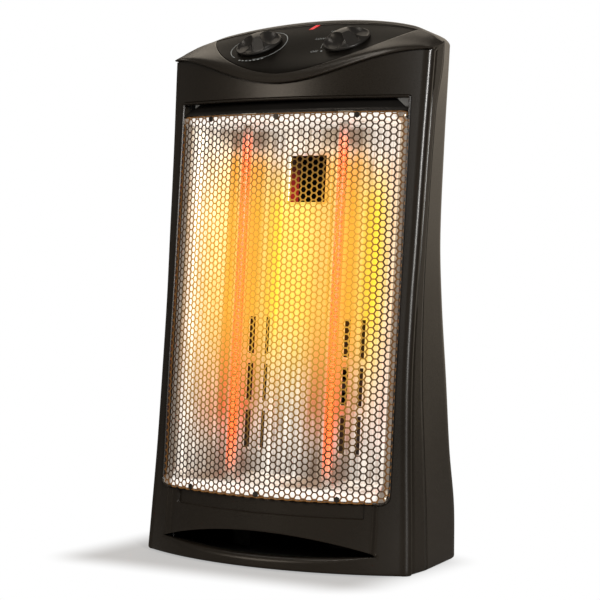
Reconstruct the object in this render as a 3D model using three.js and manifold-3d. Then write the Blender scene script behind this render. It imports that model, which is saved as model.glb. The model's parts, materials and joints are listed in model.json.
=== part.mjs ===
// A tower quartz heater: a leaning moulded body, a bright reflector with two
// quartz tubes behind a bowed honeycomb guard, a fan behind the reflector and
// two knobs on the sloping head. Millimetres, +Z up, the front faces -Y.
import * as THREE from 'three';
import { mergeVertices } from 'three/addons/utils/BufferGeometryUtils.js';
import Module from 'manifold-3d';

const wasm = await Module();
wasm.setup();

// Body
const bodyHeight = 590;        // floor to the crown of the head
const footHeight = 2;          // rubber feet below the shell
const baseHalfWidth = 168.5;
const frontLean = 58.3;        // how far the front leans back over the height
const footFlank = 40.5;        // bezel side, front corner to seam, at the foot
const footDepth = 142;         // front corner to rear wall at the foot
const frontBow = 42.13;        // how far the front's middle stands before its corners
const frontBowRadius = (baseHalfWidth ** 2 + frontBow ** 2) / 2 / frontBow;
const beadRadius = 6.5;        // rounded upright edges of the bezel
const flankInset = 2.5;        // groove behind the bead
const waistShare = 0.945;      // of the base's half width
const waistHalfWidth = baseHalfWidth * waistShare;
const rearTaper = 4.23;        // how much narrower the rear is than the waist, each side
const rearHalfWidth = waistHalfWidth - rearTaper;
const rearCornerRadius = 26;
const rearBulge = 4;
const wall = 3;
const fit = 0.3;               // gap between pieces that touch
const overrun = 30;            // how far a cut runs past what it cuts
const weld = 0.001;
const softEdge = 1;            // broken edges on small turned pieces

// Head
const crownRound = 2;
const crownEdgeHeight = bodyHeight - crownRound;      // top edge of the head at the middle
const crownDrop = 27;          // and its fall to the sides
const headHeight = 72;
const browHeight = crownEdgeHeight - headHeight;      // brow line at the middle
const browRise = 32.5;         // and how much higher it ends at the sides
const browOverhang = 4;
const browGroove = 1.4;
const crownEdgeDepth = 103;    // top edge, back from the front corner line at the floor
const crownSweep = 33;         // and how far it comes forward at the sides
const crownLip = 12;           // top edge to the seam
const crownInset = 5;
const rearCrownFall = 5;

// Window, guard and slot
const lintelHeight = 16;       // plain front between the window and the brow
const windowTop = browHeight - lintelHeight;
const topSlot = 16;            // open slot above the guard
const jamb = 14.23;            // front beside the guard, at the waist
const guardHalfWidth = waistHalfWidth - jamb;
const guardBottom = 75;
const guardTop = windowTop - topSlot;
const guardCorner = 9;
const guardSheet = 1.2;
const guardSetBack = 0.4;
const guardReturn = 9;         // folded edge
const guardScrewInset = 52;
const guardScrewX = guardHalfWidth - guardScrewInset;
const guardBorder = 5.5;
const borderProud = 0.4;       // the border's faces beyond the net's
const guardPitch = 47;         // between one honeycomb gap and the one above
const guardWeb = 3;
const windowFit = 0.7;
const windowCorner = 2;
const frameWall = 2.4;         // return wall round the window
const frameDepth = 9;
const deflectorTaper = 21;     // narrower at the top, each side
const deflectorLift = 2.5;     // above the guard
const deflectorFit = 0.8;      // under the window's upper edge
const deflectorBottom = guardTop + deflectorLift;
const deflectorTop = windowTop - deflectorFit;
const deflectorRise = 13;      // how far its top edge lies behind its lower one
const deflectorSheet = 1.2;

// Lower front
const bayInset = 10;
const bayHalfWidth = guardHalfWidth - bayInset;
const bayBottom = 22;
const bayDepth = 4.5;
const pocketInset = 16;
const pocketHalfWidth = bayHalfWidth - pocketInset;
const pocketHeight = 16;
const pocketBottom = guardBottom - pocketHeight;
const pocketDepth = 3;
const bayWall = 2;
const crescentReach = 2;       // of its tips past the bay
const crescentHalfWidth = bayHalfWidth + crescentReach;
const crescentTipHeight = 21.4;
const crescentTop = 39.5;
const crescentBottom = 15;

// Control panel and its parts
const panelInset = 15;
const panelHalfWidth = guardHalfWidth - panelInset;
const panelLift = 10;          // lower edge over the brow, at the middle
const panelLow = browHeight + panelLift;
const panelRise = headHeight - crownDrop;             // of the lower edge to the tips
const panelSetBack = 0.5;
const panelSheet = 1.1;
const knobSpacing = 113;
const knobShare = 0.53;        // of the way from the brow to the top edge
const knobRadius = 26;
const knobHeight = 11;
const knobLipRise = 5;         // top of the knob to the middle of its scoops
const knobLift = 1;
const gripWidth = 10;
const gripTurn = 30;           // degrees, towards the left
const scoopRadius = 12;
const shaftRadius = 3;
const bushRadius = 5;
const bushRoot = 1;            // of the bush inside the body of the control
const controlDrop = 9;         // panel surface to the body of the control
const thermostatSize = [34, 30, 12];
const switchSize = [30, 30, 16];
const lampShare = 0.9;
const lampSize = [5, 10, 9];
const lampShift = 6;           // left of the middle
const lampSkew = 4;

// Heating cartridge, parallel to the front
const reflectorInset = 11;
const reflectorHalfWidth = guardHalfWidth - reflectorInset;
const flangeInset = 2.6;
const reflectorFlange = guardHalfWidth - flangeInset;
const reflectorRimDepth = -4.4;
const reflectorEdgeDepth = 2.2;
const reflectorSheet = 1;
const lowFold = 19;            // folds and rims of the tray, from the guard's ends
const highFold = 11;
const lowRim = 2;
const highRim = 1.7;
const reflectorFoldBottom = guardBottom + lowFold;
const reflectorFoldTop = guardTop - highFold;
const reflectorRimBottom = guardBottom + lowRim;
const reflectorRimTop = guardTop - highRim;
const troughRadius = 38;
const troughCentreDepth = 8;
const ridgeHalfWidth = 31;
const tubeSpacing = 124;
const tubeRadius = 5.5;
const tubeBore = 4.3;
const tubeOverhang = [11, 10]; // of the tubes past the guard's lower and upper end
const tubeBottom = guardBottom - tubeOverhang[0];
const tubeTop = guardTop + tubeOverhang[1];
const tubeDepth = 0;
const tubeClearance = 1;       // tube to the hole in the reflector
const capRadius = 8;
const capFlangeRadius = 10;
const capLength = 14;
const capFlange = 4;
const capFloor = 3;
const coilRadius = 3.1;
const coilWire = 0.55;
const coilInset = [36, 38];    // of the coils inside the tubes' ends
const coilBottom = tubeBottom + coilInset[0];
const coilTop = tubeTop - coilInset[1];
const coilCurls = 8;
const bracketSheet = 1.2;
const slotWidth = 6;
const slotOffset = 10;
const slotLift = 27;           // lowest slot over the tray's lower fold
const slotBottom = reflectorFoldBottom + slotLift;
const slotHeight = 41;
const slotPitch = 52;
const slotCount = 3;
const ventHalfWidth = 23;
const ventHeight = 51;
const ventDrop = 41;           // under the guard's upper end
const ventTop = guardTop - ventDrop;
const ventBottom = ventTop - ventHeight;
const ventSheet = 1;
const lipHeight = 5;           // reflector lip behind the guard's border
const lipGap = 1.2;
const shieldInset = 5.5;
const shieldHalfWidth = guardHalfWidth - shieldInset;
const shieldOverhang = [19, 23];                      // past the guard's lower and upper end
const shieldBottom = guardBottom - shieldOverhang[0];
const shieldTop = guardTop + shieldOverhang[1];
const shieldDepth = 50;
const shieldSheet = 1.2;
const shieldTab = 32;          // corner tabs seen through the top slot
const earInset = [45, 28];     // inside the guard's lower and upper end
const earLow = guardBottom + earInset[0];
const earHigh = guardTop - earInset[1];
const earPostSize = [15, 26];
const earReach = 4;
const earHalfHeight = 7;
const shieldStep = 6;          // its front edge past the ends of the reflector

// Fan
const fanHeight = 194;
const fanRadius = 54;
const fanHub = 15;
const fanWidth = 8;
const fanBlades = 5;
const bladeTwist = 32;         // degrees
const bladeChord = 16;
const shroudEar = 7;
const shroudEarWidth = 8;
const motorScrewReach = 13;
const motorScrewSeat = 2;      // of the core behind the screws' ends
const bladeSheet = 1.4;
const bladeRoot = 2;           // of the blade inside the hub
const hubFace = 2;
const fanClearance = 3;
const fanHoleClearance = 1;
const shroudSheet = 2;
const shroudDepth = 16;
const strutWidth = 9;
const strutSheet = 2;
const motorRadius = 21;
const motorCan = 10;
const motorCore = 13;
const motorCoreSize = 46;
const fanShaftRadius = 2.5;

// Base and rear
const baseSheet = 3;
const plateLift = 1;           // base plate above the shell's lower edge
const footRadius = 9;
const footPin = 3;
const screwRadius = 1.6;
const screwHead = 3.4;
const screwHeadHeight = 1.2;
const screwLength = 9;
const screwSides = 6;
const frontPost = [16.5, 26];  // inwards from the base's side, and back from the front corner
const rearPost = [28, 21];     // inwards from the rear's side, and forwards from the rear wall
const besideFoot = [[12.1, 6.1], [17.5, 3.1]];         // from a front foot to its post, and from a rear one
const postSize = 12;
const postHeight = 20;
const topScrewInset = 27;
const topScrewX = guardHalfWidth - topScrewInset;
const topScrewLift = 20;       // over the brow
const topScrewZ = browHeight + topScrewLift;
const seatSheet = 3;
const louvreWidth = 42;
const louvreHeight = 5;
const louvrePitch = 15;
const louvreRows = 6;
const louvreColumns = 3;
const louvreGap = 9;
const gripHalfWidth = 52;
const gripDrop = 104;          // under the crown
const gripHeight = 34;
const gripTop = bodyHeight - gripDrop;
const gripBottom = gripTop - gripHeight;
const gripDepth = 18;
const gripWall = 2.4;
const glandRadius = 7;
const glandFlange = 10;
const glandLength = 20;
const glandX = 62;
const glandHeight = 42;
const glandBore = 4.5;
const glandSheet = 2.5;
const terminalSize = [44, 18, 15];
const terminalBore = 3;
const cutoutRadius = 7;
const cutoutHeight = 5;
const cutoutX = 24;
const cutoutDepth = 30;

// Tip-over switch
const tipRadius = 4.5;
const tipFlange = 7;
const tipFlangeSheet = 2;
const tipTravel = 6;
const tipLift = 0.2;
const tipBodySize = 22;
const tipBodyHeight = 32;
const tipPin = 2.4;
const tipSpringRadius = 5;
const tipSpringWire = 0.55;
const tipSpringCurls = 4;

const round = 20;              // sides of a large circle
const smallRound = 10;
const curlSteps = 8;
const curlSides = 5;

// Shares of the body height, then of the front lean, half width, foot flank and foot depth.
const sideShares = [
  [0.0, 0.0, 1.0, 1.0, 1.0],
  [0.102, 0.089, 0.982, 0.953, 0.958],
  [0.203, 0.165, 0.963, 0.884, 0.852],
  [0.339, 0.268, 0.947, 0.731, 0.749],
  [0.475, 0.415, waistShare, 0.588, 0.62],
  [0.593, 0.549, 0.953, 0.509, 0.539],
  [0.763, 0.738, 0.964, 0.494, 0.518],
  [0.915, 0.906, 0.979, 0.509, 0.521],
  [1.0, 1.0, 0.985, 0.509, 0.521],
];
const levelShares = [0.0034, 0.06, 0.15, 0.26, 0.38, 0.5, 0.62, 0.74, 0.845];
const frontShares = [0, 0.3, 0.56, 0.8, 1];
const beadTurns = [45, 90, 135];
const cornerTurns = [15, 50, 90];
// Shares of the base's half width and of its depth.
const tipShares = [-0.463, 0.465];
const terminalShares = [0.237, 0.676];
// Shares of the knob's radius and height.
const domeShares = [[1, 0], [1, 0.16], [0.93, 0.5], [0.74, 0.8], [0.42, 0.97], [0, 1]];
// How much of the crown's fall comes late, towards its ends, and how late its sweep comes.
const crownTipShare = 0.28;
const crownPower = 2.6;
const panelPower = 1.75;
const slopeShare = 1.2;        // how far a level sinks on the slope for each millimetre of wall
// Shares of the deflector's height and of its depth.
const deflectorShares = [[0, 0], [0.2, 0.08], [1, 1]];
// Shares of the head's depth and height, from the brow to the top edge.
const headShares = [[0, 0], [0.05, 0.15], [0.14, 0.26], [0.55, 0.63], [1, 1]];

const radians = THREE.MathUtils.degToRad;
const onBase = ([x, y]) => [x * baseHalfWidth, y * footDepth];
const pairs = (places) => places.flatMap(([x, y]) => [-1, 1].map((side) => [side * x, y]));
const postCorners = [[baseHalfWidth - frontPost[0], frontPost[1]],
  [rearHalfWidth - rearPost[0], footDepth - rearPost[1]]];
const postPlaces = pairs(postCorners);
const footPlaces = pairs(postCorners.map(([x, y], at) => [x - besideFoot[at][0], y - besideFoot[at][1]]));
const tipPlace = onBase(tipShares);
const terminalPlace = onBase(terminalShares);

// Reads one column of the side table at a height, with a smooth curve through its rows.
function along(height, column) {
  const at = THREE.MathUtils.clamp(height / bodyHeight, 0, 1);
  let row = 0;
  while (row < sideShares.length - 2 && sideShares[row + 1][0] < at) row += 1;
  const point = (index) => sideShares[THREE.MathUtils.clamp(index, 0, sideShares.length - 1)];
  const [before, from, to, after] = [row - 1, row, row + 1, row + 2].map(point);
  const span = to[0] - from[0];
  const share = (at - from[0]) / span;
  const slopeFrom = (to[column] - before[column]) / (to[0] - before[0]) * span;
  const slopeTo = (after[column] - from[column]) / (after[0] - from[0]) * span;
  const square = share * share;
  const cube = square * share;
  return (2 * cube - 3 * square + 1) * from[column] + (cube - 2 * square + share) * slopeFrom
    + (3 * square - 2 * cube) * to[column] + (cube - square) * slopeTo;
}

const cornerDepth = (z) => frontLean * along(z, 1);
const halfWidth = (z) => baseHalfWidth * along(z, 2);
const seamDepth = (z) => cornerDepth(z) + footFlank * along(z, 3);
const rearDepth = (z) => cornerDepth(z) + footDepth * along(z, 4);

// The bowed front: its depth at x, behind the corner line at height z.
function bow(x, width) {
  const reach = Math.min(Math.abs(x), width);
  return Math.sqrt(frontBowRadius ** 2 - reach ** 2) - Math.sqrt(frontBowRadius ** 2 - width ** 2);
}
const frontDepth = (x, z) => cornerDepth(z) - bow(x, halfWidth(z));

// The head between the brow line and the top edge.
const headHalfWidth = halfWidth(crownEdgeHeight - crownDrop);
const across = (x) => Math.min(Math.abs(x) / headHalfWidth, 1);
const browZ = (x) => browHeight + browRise * Math.sin(across(x) * Math.PI / 2) ** 2;
const browY = (x) => frontDepth(x, browZ(x)) - browOverhang;
const crownZ = (x) => crownEdgeHeight
  - crownDrop * ((1 - crownTipShare) * across(x) ** 2 + crownTipShare * across(x) ** 4);
const crownY = (x) => crownEdgeDepth - crownSweep * across(x) ** crownPower;

function headPoint(x, share) {
  let row = 0;
  while (row < headShares.length - 2 && headShares[row + 1][0] < share) row += 1;
  const [from, to] = [headShares[row], headShares[row + 1]];
  const part = (share - from[0]) / (to[0] - from[0]);
  const rise = from[1] + (to[1] - from[1]) * part;
  return [browY(x) + (crownY(x) - browY(x)) * share, browZ(x) + (crownZ(x) - browZ(x)) * rise];
}

// The seam between the bezel and the rear housing.
function seamAt(x, z) {
  const cornerZ = browZ(headHalfWidth);
  const top = crownY(x) + crownLip;
  const blend = THREE.MathUtils.smoothstep(z, browHeight - browRise, cornerZ + browOverhang);
  return seamDepth(z) + (top - seamDepth(z)) * blend;
}

// One half of a level of the body, front centre to rear centre, as [x, y, z].
function halfLevel(level, inset) {
  const radius = Math.max(beadRadius - inset, beadRadius / 8);
  const width = level.width - inset;
  const beadX = width - radius;
  const points = frontShares.map((share) => {
    const x = share * beadX;
    return [x, level.frontY(x) + inset, level.frontZ(x)];
  });
  const beadY = level.frontY(beadX) + inset + radius;
  const sideZ = level.frontZ(width);
  for (const turn of beadTurns.map(radians)) {
    points.push([beadX + radius * Math.sin(turn), beadY - radius * Math.cos(turn), sideZ]);
  }
  const sideX = width - flankInset;
  points.push([sideX, beadY + radius, sideZ]);
  points.push([sideX, Math.max(level.seam, beadY + 2 * radius), sideZ]);
  const cornerX = rearHalfWidth - inset - rearCornerRadius;
  const cornerY = level.rear - inset - rearCornerRadius;
  for (const turn of cornerTurns.map(radians)) {
    const x = cornerX + rearCornerRadius * Math.cos(turn);
    points.push([x, cornerY + rearCornerRadius * Math.sin(turn), level.rearZ(x)]);
  }
  points.push([cornerX / 2, level.rear - inset + rearBulge * 0.75, level.rearZ(cornerX / 2)]);
  points.push([0, level.rear - inset + rearBulge, level.rearZ(0)]);
  return points;
}

function fullLevel(level, inset) {
  const half = halfLevel(level, inset);
  const mirrored = half.slice(1, -1).reverse().map(([x, y, z]) => [-x, y, z]);
  return [...half, ...mirrored];
}

// The closed outer form of the body, or the same form a little smaller.
function bodyForm(inset, bottom) {
  const levels = [];
  const flat = (z) => ({
    width: halfWidth(z), seam: seamAt(headHalfWidth, z), rear: rearDepth(z),
    frontY: (x) => frontDepth(x, z), frontZ: () => z, rearZ: () => z,
  });
  levels.push(fullLevel({ ...flat(footHeight), frontZ: () => bottom, rearZ: () => bottom }, inset));
  for (const share of levelShares.slice(1)) levels.push(fullLevel(flat(share * bodyHeight), inset));
  const sink = inset * slopeShare;
  const cornerZ = browZ(headHalfWidth);
  const underBrow = {
    ...flat(cornerZ), width: headHalfWidth,
    frontY: (x) => frontDepth(x, browZ(x)),
    frontZ: (x) => browZ(x) - browGroove - sink,
    rearZ: () => cornerZ - browGroove - sink,
  };
  levels.push(fullLevel(underBrow, inset));
  for (const [depthShare, heightShare] of headShares) {
    const seamZ = cornerZ + (crownZ(headHalfWidth) - cornerZ) * heightShare;
    levels.push(fullLevel({
      width: headHalfWidth, seam: seamAt(headHalfWidth, seamZ), rear: rearDepth(seamZ),
      frontY: (x) => headPoint(x, depthShare)[0],
      frontZ: (x) => headPoint(x, depthShare)[1] - sink,
      rearZ: (x) => cornerZ + (crownZ(x) - rearCrownFall - cornerZ) * heightShare - sink,
    }, inset));
  }
  const crown = levels[levels.length - 1].map(([x, y, z]) => {
    const middle = (crownEdgeDepth + rearDepth(bodyHeight)) / 2;
    const step = Math.min(crownInset, Math.abs(middle - y) / 2);
    return [x - Math.sign(x) * crownInset * across(x), y + Math.sign(middle - y) * step, z + crownRound];
  });
  levels.push(crown);
  return solidFrom(stack(levels));
}

// A closed geometry through levels that each have the same number of points, anticlockwise from above.
function stack(levels) {
  const count = levels[0].length;
  const positions = levels.flat(2);
  const index = [];
  for (let level = 0; level < levels.length - 1; level += 1) {
    for (let at = 0; at < count; at += 1) {
      const next = (at + 1) % count;
      const [a, b] = [level * count + at, level * count + next];
      index.push(a, b, b + count, a, b + count, a + count);
    }
  }
  const last = (levels.length - 1) * count;
  for (const [a, b, c] of zipped(levels[0])) index.push(a, c, b);
  for (const [a, b, c] of zipped(levels[levels.length - 1])) index.push(last + a, last + b, last + c);
  return indexed(positions, index);
}

// Triangles across a level, each between front and rear points that lie near each other in x.
function zipped(ring) {
  const mirrored = (at) => (ring.length - at) % ring.length;
  const triangles = [];
  let front = 0;
  let rear = ring.length / 2;
  while (rear - front > 1) {
    const forward = ring[front + 1][0] <= ring[rear - 1][0];
    const triangle = forward ? [front, front + 1, rear] : [front, rear - 1, rear];
    triangles.push(triangle, triangle.map(mirrored).reverse());
    if (forward) front += 1;
    else rear -= 1;
  }
  return triangles;
}

function indexed(positions, index) {
  const geometry = new THREE.BufferGeometry();
  geometry.setAttribute('position', new THREE.Float32BufferAttribute(positions, 3));
  geometry.setIndex(index);
  return geometry;
}

// A closed plate between two sheets of points, rows of [x, y, z] with x rising along a row
// and z rising from row to row. The front sheet is the one nearer -Y.
function plate(front, back) {
  const rows = front.length;
  const columns = front[0].length;
  const positions = [...front.flat(2), ...back.flat(2)];
  const shift = rows * columns;
  const index = [];
  const quad = (a, b, c, d) => index.push(a, b, c, a, c, d);
  for (let row = 0; row < rows - 1; row += 1) {
    for (let column = 0; column < columns - 1; column += 1) {
      const a = row * columns + column;
      const [b, c, d] = [a + 1, a + columns + 1, a + columns];
      quad(a, b, c, d);
      quad(b + shift, a + shift, d + shift, c + shift);
    }
  }
  for (let column = 0; column < columns - 1; column += 1) {
    const top = (rows - 1) * columns + column;
    quad(column + 1, column, column + shift, column + 1 + shift);
    quad(top, top + 1, top + 1 + shift, top + shift);
  }
  for (let row = 0; row < rows - 1; row += 1) {
    const left = row * columns;
    const right = left + columns - 1;
    quad(left, left + columns, left + columns + shift, left + shift);
    quad(right + columns, right, right + shift, right + columns + shift);
  }
  return indexed(positions, index);
}

const steps = (from, to, count) => Array.from({ length: count + 1 },
  (_, at) => from + (to - from) * at / count);

// A block that reaches from far in front to a depth given over x and z.
function inFrontOf(depthAt, columns, rows) {
  const reach = baseHalfWidth + overrun;
  const xs = steps(-reach, reach, columns);
  const zs = rows;
  const front = zs.map((z) => xs.map((x) => [x, -footDepth, z]));
  const back = zs.map((z) => xs.map((x) => [x, depthAt(x, z), z]));
  return solidFrom(plate(front, back));
}

function solidFrom(geometry) {
  const bare = geometry.clone();
  bare.deleteAttribute('normal');
  bare.deleteAttribute('uv');
  const merged = mergeVertices(bare, weld);
  return new wasm.Manifold(new wasm.Mesh({
    numProp: 3,
    vertProperties: new Float32Array(merged.attributes.position.array),
    triVerts: new Uint32Array(merged.index.array),
  }));
}

function geometryFrom(solid) {
  const mesh = solid.getMesh();
  const geometry = new THREE.BufferGeometry();
  geometry.setAttribute('position', new THREE.BufferAttribute(new Float32Array(mesh.vertProperties), 3));
  geometry.setIndex(new THREE.BufferAttribute(new Uint32Array(mesh.triVerts), 1));
  return geometry;
}

const unite = (solids) => solids.reduce((sum, solid) => sum.add(solid));
const cutBy = (solid, cutters) => cutters.reduce((rest, cutter) => rest.subtract(cutter), solid);

function box(x, y, z, centre) {
  return new THREE.BoxGeometry(x, y, z).translate(...centre);
}
const boxBetween = (low, high) => box(
  high[0] - low[0], high[1] - low[1], high[2] - low[2],
  low.map((value, axis) => (value + high[axis]) / 2),
);

// A closed turned piece about local +Z, from [radius, height] pairs that start and end on the axis.
function turned(profile, sides = smallRound) {
  return new THREE.LatheGeometry(profile.map(([r, h]) => new THREE.Vector2(r, h)), sides).rotateX(Math.PI / 2);
}
const rod = (radius, low, high, sides) => turned([[0, low], [radius, low], [radius, high], [0, high]], sides);
const ring = (inner, outer, low, high, sides) => turned(
  [[inner, low], [outer, low], [outer, high], [inner, high], [inner, low]], sides,
);

// An outline in x and z, carried from one depth to another.
function throughDepth(shape, near, far) {
  return new THREE.ExtrudeGeometry(shape, { depth: far - near, bevelEnabled: false, curveSegments: 4 })
    .rotateX(Math.PI / 2).translate(0, far, 0);
}

function roundedRectangle(halfX, low, high, lowRadius, highRadius) {
  const shape = new THREE.Shape();
  shape.moveTo(-halfX + lowRadius, low);
  shape.lineTo(halfX - lowRadius, low);
  shape.absarc(halfX - lowRadius, low + lowRadius, lowRadius, -Math.PI / 2, 0, false);
  shape.lineTo(halfX, high - highRadius);
  shape.absarc(halfX - highRadius, high - highRadius, highRadius, 0, Math.PI / 2, false);
  shape.lineTo(-halfX + highRadius, high);
  shape.absarc(-halfX + highRadius, high - highRadius, highRadius, Math.PI / 2, Math.PI, false);
  shape.lineTo(-halfX, low + lowRadius);
  shape.absarc(-halfX + lowRadius, low + lowRadius, lowRadius, Math.PI, Math.PI * 1.5, false);
  return shape;
}

// The cartridge frame: parallel to the front, so it leans as the chord from the guard's foot to its top.
const leanTurn = Math.atan2(cornerDepth(guardTop) - cornerDepth(guardBottom), guardTop - guardBottom);
const leanStart = cornerDepth(guardBottom) - guardBottom * Math.tan(leanTurn);
const cartridge = new THREE.Group();
cartridge.rotation.x = -leanTurn;
cartridge.position.y = leanStart;
cartridge.updateMatrix();
const up = (z) => z / Math.cos(leanTurn);
const leaned = (geometry) => geometry.applyMatrix4(cartridge.matrix);

// A frame on the head, its local +Z square to the panel and +Y up the slope.
function headFrame(x, share) {
  const [y, z] = headPoint(x, share);
  const [nextY, nextZ] = headPoint(x, share + 0.1);
  const frame = new THREE.Group();
  frame.rotation.x = Math.atan2(nextZ - z, nextY - y);
  frame.position.set(x, y, z);
  frame.updateMatrix();
  return frame;
}
const thermostatFrame = headFrame(-knobSpacing / 2, knobShare);
const switchFrame = headFrame(knobSpacing / 2, knobShare);
const lampFrame = headFrame(-lampShift, lampShare);

const heater = new THREE.Group();
heater.add(cartridge, thermostatFrame, switchFrame, lampFrame);

const finishes = {
  shell: [0x35312c, 0.5, 0],
  panel: [0x1c1b18, 0.62, 0],
  darkSteel: [0x2a2724, 0.45, 0.7],
  bright: [0xe6e6e4, 0.12, 1],
  galvanised: [0x9a9b98, 0.42, 0.9],
  quartz: [0xff7a32, 0.1, 0],
  wire: [0xff9a50, 0.5, 0.6],
  ceramic: [0xe9e2d2, 0.7, 0],
  steel: [0x8c8c8a, 0.35, 0.9],
  red: [0xd01822, 0.25, 0],
  rubber: [0x161616, 0.85, 0],
  black: [0x201f1d, 0.6, 0],
};

function add(parent, name, shape, finish) {
  const [color, roughness, metalness] = finishes[finish];
  const geometry = shape.getMesh ? geometryFrom(shape) : shape;
  const mesh = new THREE.Mesh(geometry, new THREE.MeshStandardMaterial({ color, roughness, metalness }));
  mesh.name = name;
  parent.add(mesh);
  return mesh;
}

// Shells

const outer = bodyForm(0, footHeight);
const inner = bodyForm(wall, -overrun);
const justInside = bodyForm(wall / 2, footHeight);
const seamRows = [-2 * overrun, ...levelShares.slice(1, -1).map((share) => share * bodyHeight),
  ...steps(browHeight - browRise, bodyHeight + overrun, 7)];
const bezelSide = inFrontOf(seamAt, 12, seamRows);
const housingSide = inFrontOf((x, z) => seamAt(x, z) + fit, 12, seamRows);
const leanDepth = (z) => leanStart + z * Math.tan(leanTurn);
const leanSide = (depth) => inFrontOf((x, z) => leanDepth(z) + depth, 2, [-overrun, bodyHeight + overrun]);

const frontCut = (shape) => solidFrom(throughDepth(shape, -footDepth, footDepth));

function crescentOutline() {
  const shape = new THREE.Shape();
  shape.moveTo(-crescentHalfWidth, crescentTipHeight);
  shape.quadraticCurveTo(0, 2 * crescentBottom - crescentTipHeight, crescentHalfWidth, crescentTipHeight);
  shape.quadraticCurveTo(0, 2 * crescentTop - crescentTipHeight, -crescentHalfWidth, crescentTipHeight);
  return new THREE.Shape(shape.getPoints(8).slice(0, -1));
}

function bayOutline(margin) {
  const top = guardBottom + windowFit + margin;
  return roundedRectangle(bayHalfWidth + margin, bayBottom - margin, top, guardCorner, guardCorner);
}

function panelOutline(margin) {
  const half = panelHalfWidth - margin;
  const low = (x) => panelLow + margin + panelRise * (Math.abs(x) / half) ** panelPower;
  const points = steps(-half, half, 12).map((x) => new THREE.Vector2(x, low(x)));
  const high = crownEdgeHeight + overrun;
  return new THREE.Shape([...points, new THREE.Vector2(half, high), new THREE.Vector2(-half, high)]);
}
const panelEnd = inFrontOf((x, z) => seamAt(x, z) - crownLip, 12, seamRows);

const frameInner = shieldHalfWidth + 2 * windowFit;
const shellRows = [-overrun, ...steps(guardBottom, guardTop, 3), bodyHeight + overrun];
const windowAt = (margin) => roundedRectangle(
  guardHalfWidth + windowFit + margin, guardBottom - windowFit - margin, windowTop + margin,
  guardCorner + windowFit + margin, windowCorner + margin,
);

// The heat shield's ears meet posts on the bezel's inner side.
const earX = (guardHalfWidth + frameWall + waistHalfWidth - wall) / 2;
const earPlaces = [-1, 1].flatMap((side) => [earLow, earHigh].map((z) => [side * earX, up(z)]));
const earPost = ([x, z]) => solidFrom(leaned(boxBetween(
  [x - earPostSize[0] / 2, -overrun, z - earPostSize[1] / 2],
  [x + earPostSize[0] / 2, frameDepth, z + earPostSize[1] / 2],
)));

// Posts over the base plate: the first two stand in the bezel, the others in the rear housing.
const plateLow = footHeight + plateLift;
const plateHigh = plateLow + baseSheet;
function uprightPost([x, y]) {
  const side = Math.sign(x);
  const [near, far] = [x - side * postSize / 2, x + side * 2 * postSize];
  return solidFrom(boxBetween(
    [Math.min(near, far), y - postSize / 2, plateHigh + fit],
    [Math.max(near, far), y + postSize, plateHigh + fit + postHeight],
  ));
}

// Two posts reach back from the head to the rear wall.
const topPlaces = [[-topScrewX, topScrewZ], [topScrewX, topScrewZ]];
const seatDepth = rearDepth(topScrewZ) - wall - seatSheet;
const topPost = ([x, z]) => solidFrom(rod(postSize / 2, 0, seatDepth - fit, smallRound)
  .rotateX(-Math.PI / 2).translate(x, 0, z));

// A screw, its head's underside at the origin and its head towards local +Z; or the hole for its shank.
const screw = () => turned([[0, -screwLength], [screwRadius, -screwLength], [screwRadius, 0], [screwHead, 0],
  [screwHead, screwHeadHeight], [0, screwHeadHeight]], screwSides);
const hole = (radius, low, high, sides = screwSides) => rod(radius + fit, low, high, sides);
const facing = {
  front: (geometry) => geometry.rotateX(Math.PI / 2),
  back: (geometry) => geometry.rotateX(-Math.PI / 2),
  down: (geometry) => geometry.rotateX(Math.PI),
};
const boreBack = ([x, z], depth) => facing.back(hole(screwRadius, -overrun, overrun)).translate(x, depth, z);
const joined = (geometries) => unite(geometries.map(solidFrom));
const postHole = ([x, y]) => solidFrom(hole(screwRadius, 0, plateHigh + screwLength).translate(x, y, 0));

function lampSolid(gap, rise) {
  const [x, y, z] = lampSize;
  const half = lampSkew / 2;
  const corners = [[-x / 2 - gap - half, -y / 2 - gap], [x / 2 + gap - half, -y / 2 - gap],
    [x / 2 + gap + half, y / 2 + gap], [-x / 2 - gap + half, y / 2 + gap]];
  const shape = new THREE.Shape(corners.map(([a, b]) => new THREE.Vector2(a, b)));
  return new THREE.ExtrudeGeometry(shape, { depth: z + rise, bevelEnabled: false }).translate(0, 0, -z);
}
const headHoles = () => [
  ...[thermostatFrame, switchFrame].map((frame) => solidFrom(
    rod(bushRadius + fit, -overrun, overrun, smallRound).applyMatrix4(frame.matrix),
  )),
  solidFrom(lampSolid(fit, overrun).applyMatrix4(lampFrame.matrix)),
];

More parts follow.
